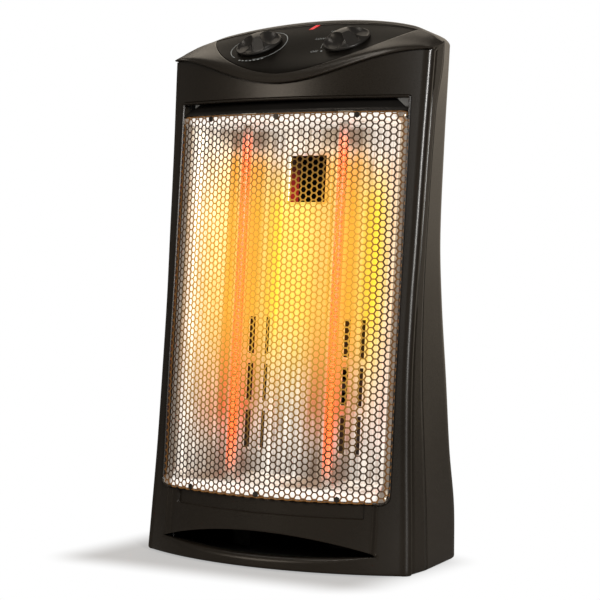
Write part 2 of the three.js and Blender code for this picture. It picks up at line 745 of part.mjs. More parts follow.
function frontBezel() {
  const reach = baseHalfWidth + overrun;
  const sides = [[-reach, -frameInner], [frameInner, reach]].map(([low, high]) => solidFrom(
    boxBetween([low, -footDepth, 0], [high, footDepth, bodyHeight]),
  ));
  const shallow = inFrontOf((x, z) => guardDepth(x, z) + guardReturn + frameWall, 12, shellRows);
  const frame = frontCut(windowAt(frameWall)).intersect(unite([shallow, ...sides.map((side) => side.intersect(
    leanSide(frameDepth - frameWall / 2),
  ))]));
  const backing = frontCut(bayOutline(wall)).intersect(leanSide(0))
    .subtract(bodyForm(bayDepth + pocketDepth + bayWall, -overrun));
  const added = unite([frame, backing, ...earPlaces.map(earPost), ...postPlaces.slice(0, 2).map(uprightPost),
    ...topPlaces.map(topPost)]).intersect(justInside);
  const solid = outer.subtract(inner).intersect(bezelSide).add(added);
  const bay = frontCut(bayOutline(0)).subtract(bodyForm(bayDepth, -overrun));
  const pocketCorner = windowCorner;
  const pocketOutline = roundedRectangle(
    pocketHalfWidth, pocketBottom, guardBottom, pocketCorner, pocketCorner,
  );
  const pocket = frontCut(pocketOutline).subtract(bodyForm(bayDepth + pocketDepth, -overrun));
  const recess = frontCut(panelOutline(0)).intersect(panelEnd)
    .subtract(bodyForm(panelSetBack + panelSheet + fit, -overrun));
  return cutBy(solid, [
    frontCut(windowAt(0)), bay, pocket, frontCut(crescentOutline()), recess, ...headHoles(),
    ...postPlaces.slice(0, 2).map(postHole),
    ...topPlaces.map(([x, z]) => solidFrom(
      facing.back(hole(screwRadius, -screwLength, overrun)).translate(x, seatDepth, z),
    )),
    ...earPlaces.map(([x, z]) => solidFrom(leaned(
      facing.back(hole(screwRadius, -screwLength, overrun)).translate(x, frameDepth, z),
    ))),
  ]);
}

function controlPanel() {
  const sheet = bodyForm(panelSetBack, footHeight).subtract(bodyForm(panelSetBack + panelSheet, -overrun));
  return cutBy(sheet.intersect(frontCut(panelOutline(fit))).intersect(
    inFrontOf((x, z) => seamAt(x, z) - crownLip - fit, 12, seamRows),
  ), headHoles());
}

// The rear shell: louvres behind the fan, a hand grip near the top and the cord's gland low down.
const gripPocket = (margin) => solidFrom(boxBetween(
  [-gripHalfWidth - margin, rearDepth(gripTop) - gripDepth - margin, gripBottom - margin],
  [gripHalfWidth + margin, 2 * footDepth, gripTop + margin],
));
function louvres() {
  const halfX = (louvreWidth + louvreGap) * (louvreColumns - 1) / 2;
  const halfZ = louvrePitch * (louvreRows - 1) / 2;
  const xs = steps(-halfX, halfX, louvreColumns - 1);
  const zs = steps(fanHeight - halfZ, fanHeight + halfZ, louvreRows - 1);
  return xs.flatMap((x) => zs.map((z) => solidFrom(
    box(louvreWidth, overrun, louvreHeight, [x, rearDepth(z), z]),
  )));
}
function rearHousing() {
  const shell = outer.subtract(inner);
  const seats = topPlaces.map(([x, z]) => solidFrom(
    rod(postSize / 2, 0, overrun, smallRound).rotateX(-Math.PI / 2).translate(x, seatDepth, z),
  ));
  const posts = postPlaces.slice(2).map(uprightPost);
  const added = unite([gripPocket(gripWall), ...seats, ...posts]).intersect(justInside);
  const solid = shell.add(added).subtract(housingSide);
  return cutBy(solid, [
    gripPocket(0), ...louvres(),
    ...postPlaces.slice(2).map(postHole),
    ...topPlaces.map((place) => solidFrom(boreBack(place, seatDepth))),
    ...topPlaces.map(([x, z]) => solidFrom(
      facing.back(hole(screwHead, seatSheet, overrun)).translate(x, seatDepth, z),
    )),
    solidFrom(facing.back(hole(glandRadius, -overrun, overrun, smallRound))
      .translate(glandX, glandSeat, glandHeight)),
  ]);
}

// The base, its feet and the tip-over switch

function basePlate() {
  const reach = baseHalfWidth + overrun;
  const slab = solidFrom(boxBetween([-reach, -reach, plateLow], [reach, reach, plateHigh]));
  return cutBy(slab.intersect(bodyForm(wall + fit, -overrun)), [
    ...postPlaces.map(([x, y]) => solidFrom(hole(screwRadius, 0, overrun).translate(x, y, 0))),
    ...footPlaces.map(([x, y]) => solidFrom(hole(footPin, 0, overrun, smallRound).translate(x, y, 0))),
    solidFrom(hole(tipRadius, 0, overrun, smallRound).translate(...tipPlace, 0)),
  ]);
}
const rubberFoot = ([x, y]) => turned([[0, 0], [footRadius - softEdge, 0], [footRadius, softEdge],
  [footRadius, plateLow - fit], [footPin, plateLow - fit], [footPin, plateHigh], [0, plateHigh]])
  .translate(x, y, 0);

const tipBodyLow = plateHigh + fit;
const tipPressed = tipBodyLow + tipTravel;           // underside of the flange while the floor presses
const tipBodyHigh = tipBodyLow + tipBodyHeight;
const tipRoof = tipBodyHigh - wall;
function tipBody() {
  const [x, y] = tipPlace;
  const half = tipBodySize / 2;
  const block = solidFrom(boxBetween([x - half, y - half, tipBodyLow], [x + half, y + half, tipBodyHigh]));
  return cutBy(block, [
    solidFrom(rod(tipFlange + 2 * fit, 0, tipRoof, smallRound).translate(x, y, 0)),
    solidFrom(rod(tipPin + fit, 0, tipBodyHigh + overrun, smallRound).translate(x, y, 0)),
  ]);
}
const tipFlangeTop = tipPressed + tipFlangeSheet;
const tipPlunger = () => turned([[0, tipLift], [tipRadius - softEdge, tipLift],
  [tipRadius, tipLift + softEdge], [tipRadius, tipPressed], [tipFlange, tipPressed], [tipFlange, tipFlangeTop],
  [tipPin, tipFlangeTop], [tipPin, tipBodyHigh], [0, tipBodyHigh]]).translate(...tipPlace, 0);

// One unbroken wire wound about +Z.
class Helix extends THREE.Curve {
  constructor(radius, low, high, curls) {
    super();
    Object.assign(this, { radius, low, high, curls });
  }

  getPoint(at, target = new THREE.Vector3()) {
    const turn = 2 * Math.PI * this.curls * at;
    const height = this.low + (this.high - this.low) * at;
    return target.set(this.radius * Math.cos(turn), this.radius * Math.sin(turn), height);
  }
}

// The least gap of a wire to itself, between points of its middle line more than half a curl apart.
function leastGap(points, wire) {
  const gaps = points.flatMap((point, at) => points.slice(at + curlSteps / 2)
    .map((other) => point.distanceTo(other) - 2 * wire));
  return Math.min(...gaps);
}

function wound(radius, wire, low, high, curls) {
  const curve = new Helix(radius, low + wire, high - wire, curls);
  const count = curls * curlSteps;
  const positions = [];
  for (let step = 0; step <= count; step += 1) {
    const point = curve.getPoint(step / count);
    const outward = new THREE.Vector3(point.x, point.y, 0).normalize();
    const ahead = curve.getTangent(THREE.MathUtils.clamp(step / count, weld, 1 - weld));
    const side = new THREE.Vector3().crossVectors(ahead, outward).normalize();
    for (let at = 0; at < curlSides; at += 1) {
      const turn = 2 * Math.PI * at / curlSides;
      const corner = point.clone().addScaledVector(outward, wire * Math.cos(turn))
        .addScaledVector(side, wire * Math.sin(turn));
      positions.push(corner.x, corner.y, corner.z);
    }
  }
  const index = [];
  for (let step = 0; step < count; step += 1) {
    for (let at = 0; at < curlSides; at += 1) {
      const [a, b] = [step * curlSides + at, step * curlSides + (at + 1) % curlSides];
      index.push(a, b, b + curlSides, a, b + curlSides, a + curlSides);
    }
  }
  for (let at = 1; at < curlSides - 1; at += 1) {
    index.push(0, at + 1, at);
    const end = count * curlSides;
    index.push(end, end + at, end + at + 1);
  }
  const middleLine = steps(0, 1, count).map((at) => curve.getPoint(at));
  console.log(`least gap of the wound wire to itself ${leastGap(middleLine, wire).toFixed(2)} mm`);
  return indexed(positions, index);
}

const tipSpring = () => wound(
  tipSpringRadius, tipSpringWire, tipFlangeTop + fit, tipRoof - fit, tipSpringCurls,
).translate(...tipPlace, 0);

// Where the supply comes in: a gland in the rear wall and a block of terminals on the base.
function terminalBlock() {
  const [x, y, z] = terminalSize;
  const block = solidFrom(box(x, y, z, [terminalPlace[0], terminalPlace[1], plateHigh + fit + z / 2]));
  return cutBy(block, [-1, 0, 1].map((side) => solidFrom(rod(terminalBore, 0, z, screwSides)
    .translate(terminalPlace[0] + side * x / 3, terminalPlace[1], plateHigh + z / 2))));
}
const glandSeat = rearDepth(glandHeight) + rearBulge;
const cordGland = () => turned([[glandBore, -glandLength], [glandRadius, -glandLength], [glandRadius, 0],
  [glandFlange, 0], [glandFlange, glandSheet], [glandRadius, glandSheet * 3], [glandBore, glandSheet * 3],
  [glandBore, -glandLength]]).rotateX(-Math.PI / 2).translate(glandX, glandSeat, glandHeight);

// The guard: a bowed net of six-sided gaps, a plain border and edges folded back.
const guardDepth = (x, z) => frontDepth(x, z) + guardSetBack;
const guardCorners = [0, 60, 120, 180, 240, 300].map(radians).map((turn) => [Math.cos(turn), Math.sin(turn)]);
const guardOutline = (inset) => new THREE.Shape(rimPoints(inset).map(([x, z]) => new THREE.Vector2(x, z)));

// Sets something square to the bowed guard, its local +Z outwards.
const onGuard = (geometry, [x, z]) => facing.front(geometry).rotateX(-leanTurn)
  .rotateZ(Math.asin(x / frontBowRadius)).translate(x, guardDepth(x, z), z);

function guardNet() {
  const column = guardPitch * Math.sqrt(3) / 2;
  const middle = (guardBottom + guardTop) / 2;
  const columns = Math.ceil(guardHalfWidth / column);
  const rows = Math.ceil((guardTop - guardBottom) / 2 / guardPitch);
  const positions = [];
  const index = [];
  const rims = new Map();
  const point = (x, z, layer) => positions.push(x, guardDepth(x, z) + layer * guardSheet, z) / 3 - 1;
  const quad = (p, q, r, t) => index.push(p, q, r, p, r, t);
  for (let place = -columns; place <= columns; place += 1) {
    const shift = place % 2 === 0 ? 0 : guardPitch / 2;
    for (let row = -rows; row <= (shift ? rows - 1 : rows); row += 1) {
      const [x, z] = [place * column, middle + row * guardPitch + shift];
      const rings = [guardPitch, guardPitch - guardWeb].map((size) => [0, 1].map((layer) => guardCorners.map(
        ([a, b]) => point(x + a * size / Math.sqrt(3), z + b * size / Math.sqrt(3), layer),
      )));
      const [[front, back], [gapFront, gapBack]] = rings;
      for (let at = 0; at < guardCorners.length; at += 1) {
        const next = (at + 1) % guardCorners.length;
        quad(front[at], front[next], gapFront[next], gapFront[at]);
        quad(back[next], back[at], gapBack[at], gapBack[next]);
        quad(gapFront[at], gapFront[next], gapBack[next], gapBack[at]);
        const angle = (at + 0.5) * Math.PI / 3;
        const wallX = (x + Math.cos(angle) * guardPitch / 2) / column * 2;
        const wallZ = (z - middle + Math.sin(angle) * guardPitch / 2) / guardPitch * 4;
        const key = [wallX, wallZ].map(Math.round).join();
        if (rims.has(key)) rims.delete(key);
        else rims.set(key, [front[next], front[at], back[at], back[next]]);
      }
    }
  }
  for (const corners of rims.values()) quad(...corners);
  return indexed(positions, index);
}

// Points round the guard's edge, anticlockwise from the front, at a distance inside it.
function rimPoints(inset) {
  const radius = guardCorner - inset;
  const [side, low, high] = [guardHalfWidth - guardCorner, guardBottom + guardCorner, guardTop - guardCorner];
  const centres = [[side, low, -1], [side, high, 0], [-side, high, 1], [-side, low, 2]];
  const corners = centres.map(([x, z, quarter]) => steps(quarter, quarter + 1, 2)
    .map((quarters) => quarters * Math.PI / 2)
    .map((turn) => [x + radius * Math.cos(turn), z + radius * Math.sin(turn)]));
  return corners.flatMap((corner, at) => {
    const [toX, toZ] = corners[(at + 1) % corners.length][0];
    const [fromX, fromZ] = corner[corner.length - 1];
    const between = steps(0, 1, at % 2 ? 8 : 5).slice(1, -1)
      .map((share) => [fromX + (toX - fromX) * share, fromZ + (toZ - fromZ) * share]);
    return [...corner, ...between];
  });
}

// The border and its edge folded back: an angle section carried round the guard.
function guardRim() {
  const faceDepth = guardSheet + borderProud;
  const section = [[0, -borderProud], [guardBorder, -borderProud], [guardBorder, faceDepth],
    [guardSheet, faceDepth], [guardSheet, guardReturn], [0, guardReturn]];
  const rings = section.map(([inset, depth]) => rimPoints(inset)
    .map(([x, z]) => [x, guardDepth(x, z) + depth, z]));
  const count = rings[0].length;
  const index = [];
  for (let line = 0; line < section.length; line += 1) {
    for (let at = 0; at < count; at += 1) {
      const [near, far] = [line * count, (line + 1) % section.length * count];
      const next = (at + 1) % count;
      index.push(near + at, near + next, far + next, near + at, far + next, far + at);
    }
  }
  return indexed(rings.flat(2), index);
}

function meshGuard() {
  const outline = frontCut(guardOutline(guardSheet));
  const holes = guardScrewPlaces.map((place) => onGuard(hole(screwRadius, -overrun, overrun), place));
  return cutBy(solidFrom(guardNet()).intersect(outline).add(solidFrom(guardRim())), holes.map(solidFrom));
}

const guardScrewPlaces = [-1, 0, 1].flatMap((side) => [guardBottom + guardBorder / 2 + guardSheet,
  guardTop - guardBorder / 2 - guardSheet].map((z) => [side * guardScrewX, z]));

function deflector() {
  const rows = deflectorShares.map(([rise, back]) => {
    const z = deflectorBottom + (deflectorTop - deflectorBottom) * rise;
    const half = guardHalfWidth + windowFit - fit - deflectorTaper * rise;
    const depth = guardSheet + fit + deflectorRise * back;
    return steps(-half, half, 12).map((x) => [x, guardDepth(x, z) + depth, z]);
  });
  const back = rows.map((row) => row.map(([x, y, z]) => [x, y + deflectorSheet, z]));
  return plate(rows, back);
}

// The reflector: a tray with two troughs, its end walls bowed forward to a lip behind the guard.
function troughProfile() {
  const bend = Math.acos((tubeSpacing / 2 - ridgeHalfWidth) / troughRadius);
  const arc = steps(Math.PI - bend, bend, 6).map((turn) => [
    tubeSpacing / 2 + troughRadius * Math.cos(turn), troughCentreDepth + troughRadius * Math.sin(turn)]);
  const half = [...arc, [reflectorHalfWidth - guardBorder, reflectorEdgeDepth],
    [reflectorHalfWidth, reflectorRimDepth], [reflectorFlange, reflectorRimDepth]];
  return [...half.map(([x, y]) => [-x, y]).reverse(), ...half];
}
const troughFloor = troughCentreDepth + troughRadius;
const panelDepth = troughCentreDepth + Math.sqrt(troughRadius ** 2 - (tubeSpacing / 2 - ridgeHalfWidth) ** 2);
const intoCartridge = cartridge.matrix.clone().invert();
const lipHalfWidth = guardHalfWidth - guardCorner;
function reflector() {
  const profile = troughProfile();
  const lip = (z) => (([flatX]) => {
    const x = THREE.MathUtils.clamp(flatX, -lipHalfWidth, lipHalfWidth);
    const depth = guardDepth(x, z) + guardSheet + lipGap;
    return new THREE.Vector3(x, depth, z).applyMatrix4(intoCartridge).toArray();
  });
  const rows = [
    profile.map(lip(reflectorRimBottom)),
    profile.map(lip(reflectorRimBottom + lipHeight)),
    profile.map(([x, y]) => [x, y, up(reflectorFoldBottom)]),
    profile.map(([x, y]) => [x, y, up(reflectorFoldTop)]),
    profile.map(lip(reflectorRimTop - lipHeight)),
    profile.map(lip(reflectorRimTop)),
  ];
  const drops = [0, -1, -1, 1, 1, 0];
  const back = rows.map((row, at) => row.map(([x, y, z]) => [
    x, y + reflectorSheet, z + drops[at] * reflectorSheet]));
  const slotRows = steps(slotBottom, slotBottom + slotPitch * (slotCount - 1), slotCount - 1);
  const slots = [-1, 1].flatMap((trough) => [-1, 1].flatMap((side) => slotRows.map((low) => {
    const x = trough * tubeSpacing / 2 + side * slotOffset;
    const [near, far] = [panelDepth, troughFloor + overrun];
    return boxBetween([x - slotWidth / 2, near, up(low)], [x + slotWidth / 2, far, up(low + slotHeight)]);
  })));
  const vent = boxBetween([-ventHalfWidth, 0, up(ventBottom)], [ventHalfWidth, footDepth, up(ventTop)]);
  const tubeHoles = [-1, 1].map((side) => rod(tubeRadius + tubeClearance, 0, bodyHeight, smallRound)
    .translate(side * tubeSpacing / 2, tubeDepth, 0));
  const screwHoles = guardScrewPlaces.map((place) => onGuard(hole(screwRadius, -overrun, overrun), place)
    .applyMatrix4(intoCartridge));
  return cutBy(solidFrom(plate(rows, back)), [...slots, vent, ...tubeHoles, ...screwHoles].map(solidFrom));
}

function ventDuct() {
  const [near, far] = [panelDepth + reflectorSheet + fit, shieldDepth - fit];
  const margin = ventSheet + windowFit;
  const walls = solidFrom(boxBetween([-ventHalfWidth - margin, near, up(ventBottom) - margin],
    [ventHalfWidth + margin, far, up(ventTop) + margin]));
  return walls.subtract(solidFrom(boxBetween([-ventHalfWidth - windowFit, 0, up(ventBottom) - windowFit],
    [ventHalfWidth + windowFit, footDepth, up(ventTop) + windowFit])));
}

// The heat shield: an open pan behind the reflector, on four ears.
const shieldFront = reflectorRimDepth + reflectorSheet + fit;
function heatShield() {
  const [low, high, back] = [up(shieldBottom), up(shieldTop), shieldDepth + shieldSheet];
  const [half, sheet] = [shieldHalfWidth, shieldSheet];
  const reach = half + overrun;
  const pan = solidFrom(boxBetween([-half, shieldFront, low], [half, back, high])).subtract(solidFrom(
    boxBetween([-half + sheet, -footDepth, low + sheet], [half - sheet, shieldDepth, high - sheet])));
  const ears = earPlaces.map(([x, z]) => {
    const ends = [Math.sign(x) * (half - sheet), x + Math.sign(x) * earReach];
    return boxBetween([Math.min(...ends), frameDepth + fit, z - earHalfHeight],
      [Math.max(...ends), frameDepth + fit + sheet, z + earHalfHeight]);
  });
  const tabs = [[-half, shieldTab - half], [half - shieldTab, half]].map(([left, right]) => boxBetween(
    [left, shieldStep, up(guardTop)], [right, shieldStep + sheet, high],
  ));
  const cuts = [
    rod(fanRadius + fanHoleClearance, -overrun, overrun, round).rotateX(-Math.PI / 2)
      .translate(0, shieldDepth, up(fanHeight)),
    boxBetween([-ventHalfWidth, 0, up(ventBottom)], [ventHalfWidth, footDepth, up(ventTop)]),
    boxBetween([-reach, -footDepth, 0], [reach, shieldStep, up(reflectorRimBottom + 2 * lipHeight)]),
    boxBetween([-reach, -footDepth, up(reflectorRimTop - lipHeight)], [reach, shieldStep, bodyHeight]),
    ...earPlaces.map((place) => boreBack(place, frameDepth)),
    ...shroudPlaces.map((place) => boreBack(place, shieldDepth)),
  ];
  return cutBy(unite([pan, ...[...ears, ...tabs].map(solidFrom)]), cuts.map(solidFrom));
}

// Tubes, coils, caps and their brackets; the upper end mirrors the lower one.
const tubeX = [-tubeSpacing / 2, tubeSpacing / 2];
const bracketHalfWidth = (tubeX[1] + capFlangeRadius + shieldHalfWidth - shieldTab) / 2;
const capLow = tubeBottom - fit - capFloor;
const capHigh = tubeTop + fit + capFloor;
const capProfile = [[0, 0], [capFlangeRadius, 0], [capFlangeRadius, capFlange], [capRadius, capFlange],
  [capRadius, capLength], [tubeRadius + fit, capLength], [tubeRadius + fit, capFloor], [0, capFloor]];
const lowerCap = (x) => turned(capProfile).translate(x, tubeDepth, up(capLow));
const upperCap = (x) => turned(capProfile).rotateX(Math.PI).translate(x, tubeDepth, up(capHigh));
function bracket(low) {
  const blank = boxBetween([-bracketHalfWidth, tubeDepth - capFlangeRadius, low],
    [bracketHalfWidth, shieldDepth - fit, low + bracketSheet]);
  const holes = tubeX.map((x) => rod(capRadius + fit, low - overrun, low + overrun, smallRound)
    .translate(x, tubeDepth, 0));
  return cutBy(solidFrom(blank), holes.map(solidFrom));
}
const lowerBracketAt = up(capLow) + capFlange + fit;
const upperBracketAt = up(capHigh) - capFlange - fit - bracketSheet;

const thermalCutout = () => joined([
  rod(cutoutRadius, 0, cutoutHeight, smallRound),
  box(cutoutRadius * 3, cutoutRadius, shieldSheet, [0, 0, shieldSheet / 2]),
].map((geometry) => geometry.translate(cutoutX, cutoutDepth, up(shieldTop) + fit)));

// Fan: a shroud on the back of the heat shield, struts that carry the motor, and the impeller on its shaft.
const shroudNear = shieldDepth + shieldSheet + fit;
const shroudFar = shroudNear + shroudDepth;
const shroudInner = fanRadius + fanClearance;
const shroudOuter = shroudInner + shroudSheet;
const shroudReach = (shroudOuter + shroudEar) * Math.SQRT1_2;
const shroudPlaces = [-shroudReach, shroudReach].map((reach) => [reach, up(fanHeight) + reach]);
const fanAxis = (geometry) => geometry.rotateX(-Math.PI / 2).translate(0, shroudNear, up(fanHeight));
function fanShroud() {
  const [strutLength, earLength] = [2 * shroudOuter - shroudSheet, 2 * (shroudOuter + shroudEar + screwHead)];
  const struts = [45, 135].map((turn) => box(
    strutLength, strutWidth, strutSheet, [0, 0, shroudDepth - strutSheet / 2],
  ).rotateZ(radians(turn)));
  const ears = box(earLength, shroudEarWidth, shroudSheet, [0, 0, shroudSheet / 2]).rotateZ(radians(135));
  const body = joined([ring(shroudInner, shroudOuter, 0, shroudDepth, round), ...struts, ears].map(fanAxis));
  const cuts = [
    fanAxis(rod(shroudInner, -overrun, shroudDepth - strutSheet, round)),
    fanAxis(rod(fanShaftRadius + fit, 0, overrun, smallRound)),
    ...[...shroudPlaces, ...motorScrewPlaces].map((place) => boreBack(place, shroudNear)),
  ];
  return cutBy(body, cuts.map(solidFrom));
}
const motorScrewPlaces = [-motorScrewReach, motorScrewReach].map((reach) => [reach, up(fanHeight) + reach]);
function fanImpeller() {
  const root = fanHub - bladeRoot;
  const blade = box(fanRadius - root, bladeChord, bladeSheet, [(fanRadius + root) / 2, 0, 0])
    .rotateX(radians(bladeTwist)).translate(0, 0, fanClearance + fanWidth / 2);
  const blades = steps(0, 360, fanBlades).slice(1).map((turn) => blade.clone().rotateZ(radians(turn)));
  const hub = rod(fanHub, fanClearance, fanClearance + fanWidth, smallRound);
  const within = solidFrom(rod(fanRadius, fanClearance - overrun, fanClearance + overrun, round));
  const body = joined([hub, ...blades]).intersect(within);
  const bore = rod(fanShaftRadius + fit, fanClearance + hubFace, overrun, smallRound);
  return geometryFrom(body.subtract(solidFrom(bore)));
}
const motorNear = shroudDepth + fit;
function fanMotor() {
  const core = box(motorCoreSize, motorCoreSize, motorCore, [0, 0, motorNear + motorCore / 2]);
  const can = rod(motorRadius, motorNear, motorNear + motorCore + motorCan, smallRound);
  const bore = rod(fanShaftRadius + fit, 0, motorNear + motorCore, smallRound);
  const holes = motorScrewPlaces.map(([x, z]) => hole(screwRadius, 0, motorNear + motorCore - motorScrewSeat)
    .translate(x, -(z - up(fanHeight)), 0));
  return geometryFrom(joined([core, can]).subtract(joined([bore, ...holes])));
}
const fanShaft = () => rod(fanShaftRadius, fanClearance + hubFace + fit, motorNear + motorCore - fit,
  smallRound);

// Knobs and controls, each in its own frame on the head.
function knob() {
  const profile = domeShares.map(([radius, height]) => [radius * knobRadius, height * knobHeight]);
  const dome = turned([[0, 0], ...profile], round).translate(0, 0, knobLift);
  const scoops = [-1, 1].map((side) => new THREE.SphereGeometry(scoopRadius, 8, 6)
    .scale(1, 1.5, 1).translate(side * (gripWidth / 2 + scoopRadius * 0.93), 0, knobHeight + knobLipRise));
  const bore = rod(shaftRadius, knobLift - fit, boreTop, smallRound);
  return geometryFrom(cutBy(solidFrom(dome), [...scoops, bore].map(solidFrom)));
}
const boreTop = knobLift + knobHeight / 2;
const controlShaft = () => rod(shaftRadius - fit, -controlDrop - fit, boreTop - fit, smallRound);
function controlBody([x, y, z]) {
  const block = box(x, y, z, [0, 0, -controlDrop - z / 2]);
  const bush = rod(bushRadius, -controlDrop - bushRoot, 0, smallRound);
  const bore = rod(shaftRadius, -controlDrop - z / 2, overrun, smallRound);
  return geometryFrom(joined([block, bush]).subtract(solidFrom(bore)));
}

// Assembly

add(heater, 'front_bezel', frontBezel(), 'shell');
add(heater, 'control_panel', controlPanel(), 'panel');
add(heater, 'rear_housing', rearHousing(), 'shell');
add(heater, 'base_plate', basePlate(), 'black');
footPlaces.forEach((place, at) => add(heater, `rubber_foot_${at + 1}`, rubberFoot(place), 'rubber'));
add(heater, 'mesh_guard', meshGuard(), 'darkSteel');
add(heater, 'hot_air_deflector', deflector(), 'darkSteel');
add(heater, 'tip_switch_body', tipBody(), 'black');
add(heater, 'tip_switch_plunger', tipPlunger(), 'steel');

add(heater, 'tip_switch_spring', tipSpring(), 'steel');
add(heater, 'terminal_block', terminalBlock(), 'black');
add(heater, 'cord_gland', cordGland(), 'black');

add(cartridge, 'reflector', reflector(), 'bright');
add(cartridge, 'vent_duct', ventDuct(), 'galvanised');
add(cartridge, 'heat_shield', heatShield(), 'galvanised');
for (const [at, side] of ['left', 'right'].entries()) {
  const x = tubeX[at];
  const tube = ring(tubeBore, tubeRadius, up(tubeBottom), up(tubeTop));
  add(cartridge, `quartz_tube_${side}`, tube, 'quartz').position.set(x, tubeDepth, 0);
  const coil = wound(coilRadius, coilWire, up(coilBottom), up(coilTop), coilCurls);
  add(cartridge, `heating_coil_${side}`, coil, 'wire').position.set(x, tubeDepth, 0);
  add(cartridge, `tube_cap_lower_${side}`, lowerCap(x), 'ceramic');
  add(cartridge, `tube_cap_upper_${side}`, upperCap(x), 'ceramic');
}
add(cartridge, 'tube_bracket_lower', bracket(lowerBracketAt), 'galvanised');
add(cartridge, 'tube_bracket_upper', bracket(upperBracketAt), 'galvanised');
add(cartridge, 'fan_shroud', fanShroud(), 'black');
add(cartridge, 'fan_impeller', fanAxis(fanImpeller()), 'black');
add(cartridge, 'fan_shaft', fanAxis(fanShaft()), 'steel');
add(cartridge, 'fan_motor', fanAxis(fanMotor()), 'steel');
add(cartridge, 'thermal_cutout', thermalCutout(), 'ceramic');

add(thermostatFrame, 'thermostat_knob', knob().rotateZ(radians(gripTurn)), 'shell');
add(thermostatFrame, 'thermostat_shaft', controlShaft(), 'steel');
add(thermostatFrame, 'thermostat_body', controlBody(thermostatSize), 'black');
add(switchFrame, 'switch_knob', knob().rotateZ(radians(gripTurn)), 'shell');
add(switchFrame, 'switch_shaft', controlShaft(), 'steel');
add(switchFrame, 'switch_body', controlBody(switchSize), 'black');
add(lampFrame, 'indicator_lens', lampSolid(0, 0), 'red');

guardScrewPlaces.forEach((place, at) => add(heater, `guard_screw_${at + 1}`,
  onGuard(screw().translate(0, 0, borderProud + fit), place), 'darkSteel'));
postPlaces.forEach(([x, y], at) => add(heater, `base_screw_${at + 1}`,
  facing.down(screw()).translate(x, y, plateLow - fit), 'steel'));
topPlaces.forEach(([x, z], at) => add(heater, `housing_screw_${at + 1}`,
  facing.back(screw()).translate(x, seatDepth + seatSheet + fit, z), 'steel'));
earPlaces.forEach(([x, z], at) => add(cartridge, `shield_screw_${at + 1}`,
  facing.back(screw()).translate(x, frameDepth + shieldSheet + 2 * fit, z), 'steel'));
shroudPlaces.forEach(([x, z], at) => add(cartridge, `shroud_screw_${at + 1}`,
  facing.back(screw()).translate(x, shroudNear + shroudSheet + fit, z), 'steel'));
motorScrewPlaces.forEach(([x, z], at) => add(cartridge, `motor_screw_${at + 1}`,
  facing.front(screw()).translate(x, shroudFar - strutSheet - fit, z), 'steel'));

// The origin is on the floor, under the middle of the whole heater.
const bounds = new THREE.Box3().setFromObject(heater);
heater.position.y = -(bounds.min.y + bounds.max.y) / 2;

export default heater;
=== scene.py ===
import json
import math

import bmesh
import bpy
import numpy as np
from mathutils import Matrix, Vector


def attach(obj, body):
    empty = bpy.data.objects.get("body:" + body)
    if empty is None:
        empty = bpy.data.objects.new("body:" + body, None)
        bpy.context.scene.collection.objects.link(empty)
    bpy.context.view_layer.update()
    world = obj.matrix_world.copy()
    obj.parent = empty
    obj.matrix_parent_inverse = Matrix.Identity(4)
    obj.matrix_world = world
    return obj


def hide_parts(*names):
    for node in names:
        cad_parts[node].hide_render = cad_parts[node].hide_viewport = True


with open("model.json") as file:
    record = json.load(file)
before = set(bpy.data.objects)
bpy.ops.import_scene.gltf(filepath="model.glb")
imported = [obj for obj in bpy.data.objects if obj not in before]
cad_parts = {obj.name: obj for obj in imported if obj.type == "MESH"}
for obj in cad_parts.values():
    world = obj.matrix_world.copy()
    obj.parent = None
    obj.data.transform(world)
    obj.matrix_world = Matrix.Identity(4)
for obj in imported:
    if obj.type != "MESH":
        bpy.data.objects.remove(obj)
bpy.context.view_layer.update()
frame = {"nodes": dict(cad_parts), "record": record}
mm = 0.001

# The moulded body. Sizes are millimetres, measured back from the line between the front
# corners at the floor, until addPiece turns them into the frame's metres.
body = {
    "height": 590, "footGap": 2, "footRound": 3, "halfWidth": 168.5, "lean": 58.3, "flank": 40.5,
    "depth": 142, "bow": 42.13, "bead": 6.5, "groove": 2.5, "waistShare": 0.945, "rearTaper": 4.23,
    "rearCorner": 26, "rearBulge": 4, "wall": 2.6, "backShift": 55.892, "seamGap": 0.35,
    "brow": 516, "browRise": 32.5, "overhang": 4, "browGroove": 1.6, "crown": 588, "crownDrop": 27,
    "dropShares": (0.72, 0.28), "crownDepth": 103, "crownSweep": 33, "sweepPower": 2.6, "crownLip": 12,
    "crownRise": 2, "riseEnd": (118, 157), "capMargin": 5, "rearFall": 5, "rearRoll": 5, "rollReach": 28,
    "endDrop": 1.5, "endFrom": 120, "cornerDrop": 3, "cornerFrom": 146, "capShare": 0.4,
}
# Height share, then shares of the lean, half width, flank and depth.
sideTable = np.array([
    [0.0, 0.0, 1.0, 1.0, 1.0], [0.102, 0.089, 0.982, 0.953, 0.958], [0.203, 0.165, 0.963, 0.884, 0.852],
    [0.339, 0.268, 0.947, 0.731, 0.749], [0.475, 0.415, 0.945, 0.588, 0.62],
    [0.593, 0.549, 0.953, 0.509, 0.539], [0.763, 0.738, 0.964, 0.494, 0.518],
    [0.915, 0.906, 0.979, 0.509, 0.521], [1.0, 1.0, 0.985, 0.509, 0.521],
])
# Height share of the head's face, then its depth share.
headTable = np.array([[0, 0], [0.12, 0.035], [0.22, 0.1], [0.49, 0.4], [0.78, 0.72], [1, 1]])
bowRadius = (body["halfWidth"] ** 2 + body["bow"] ** 2) / 2 / body["bow"]


# The value a share of the way from one to another.
def partWay(start, end, share):
    return start + (end - start) * share


# Points from their coordinates, each spread to the shape of the others.
def joined(*axes):
    return np.stack(np.broadcast_arrays(*axes), axis=-1)


# A full circle's evenly spaced turns.
def circle(sides):
    return np.linspace(0, 2 * math.pi, sides, endpoint=False)


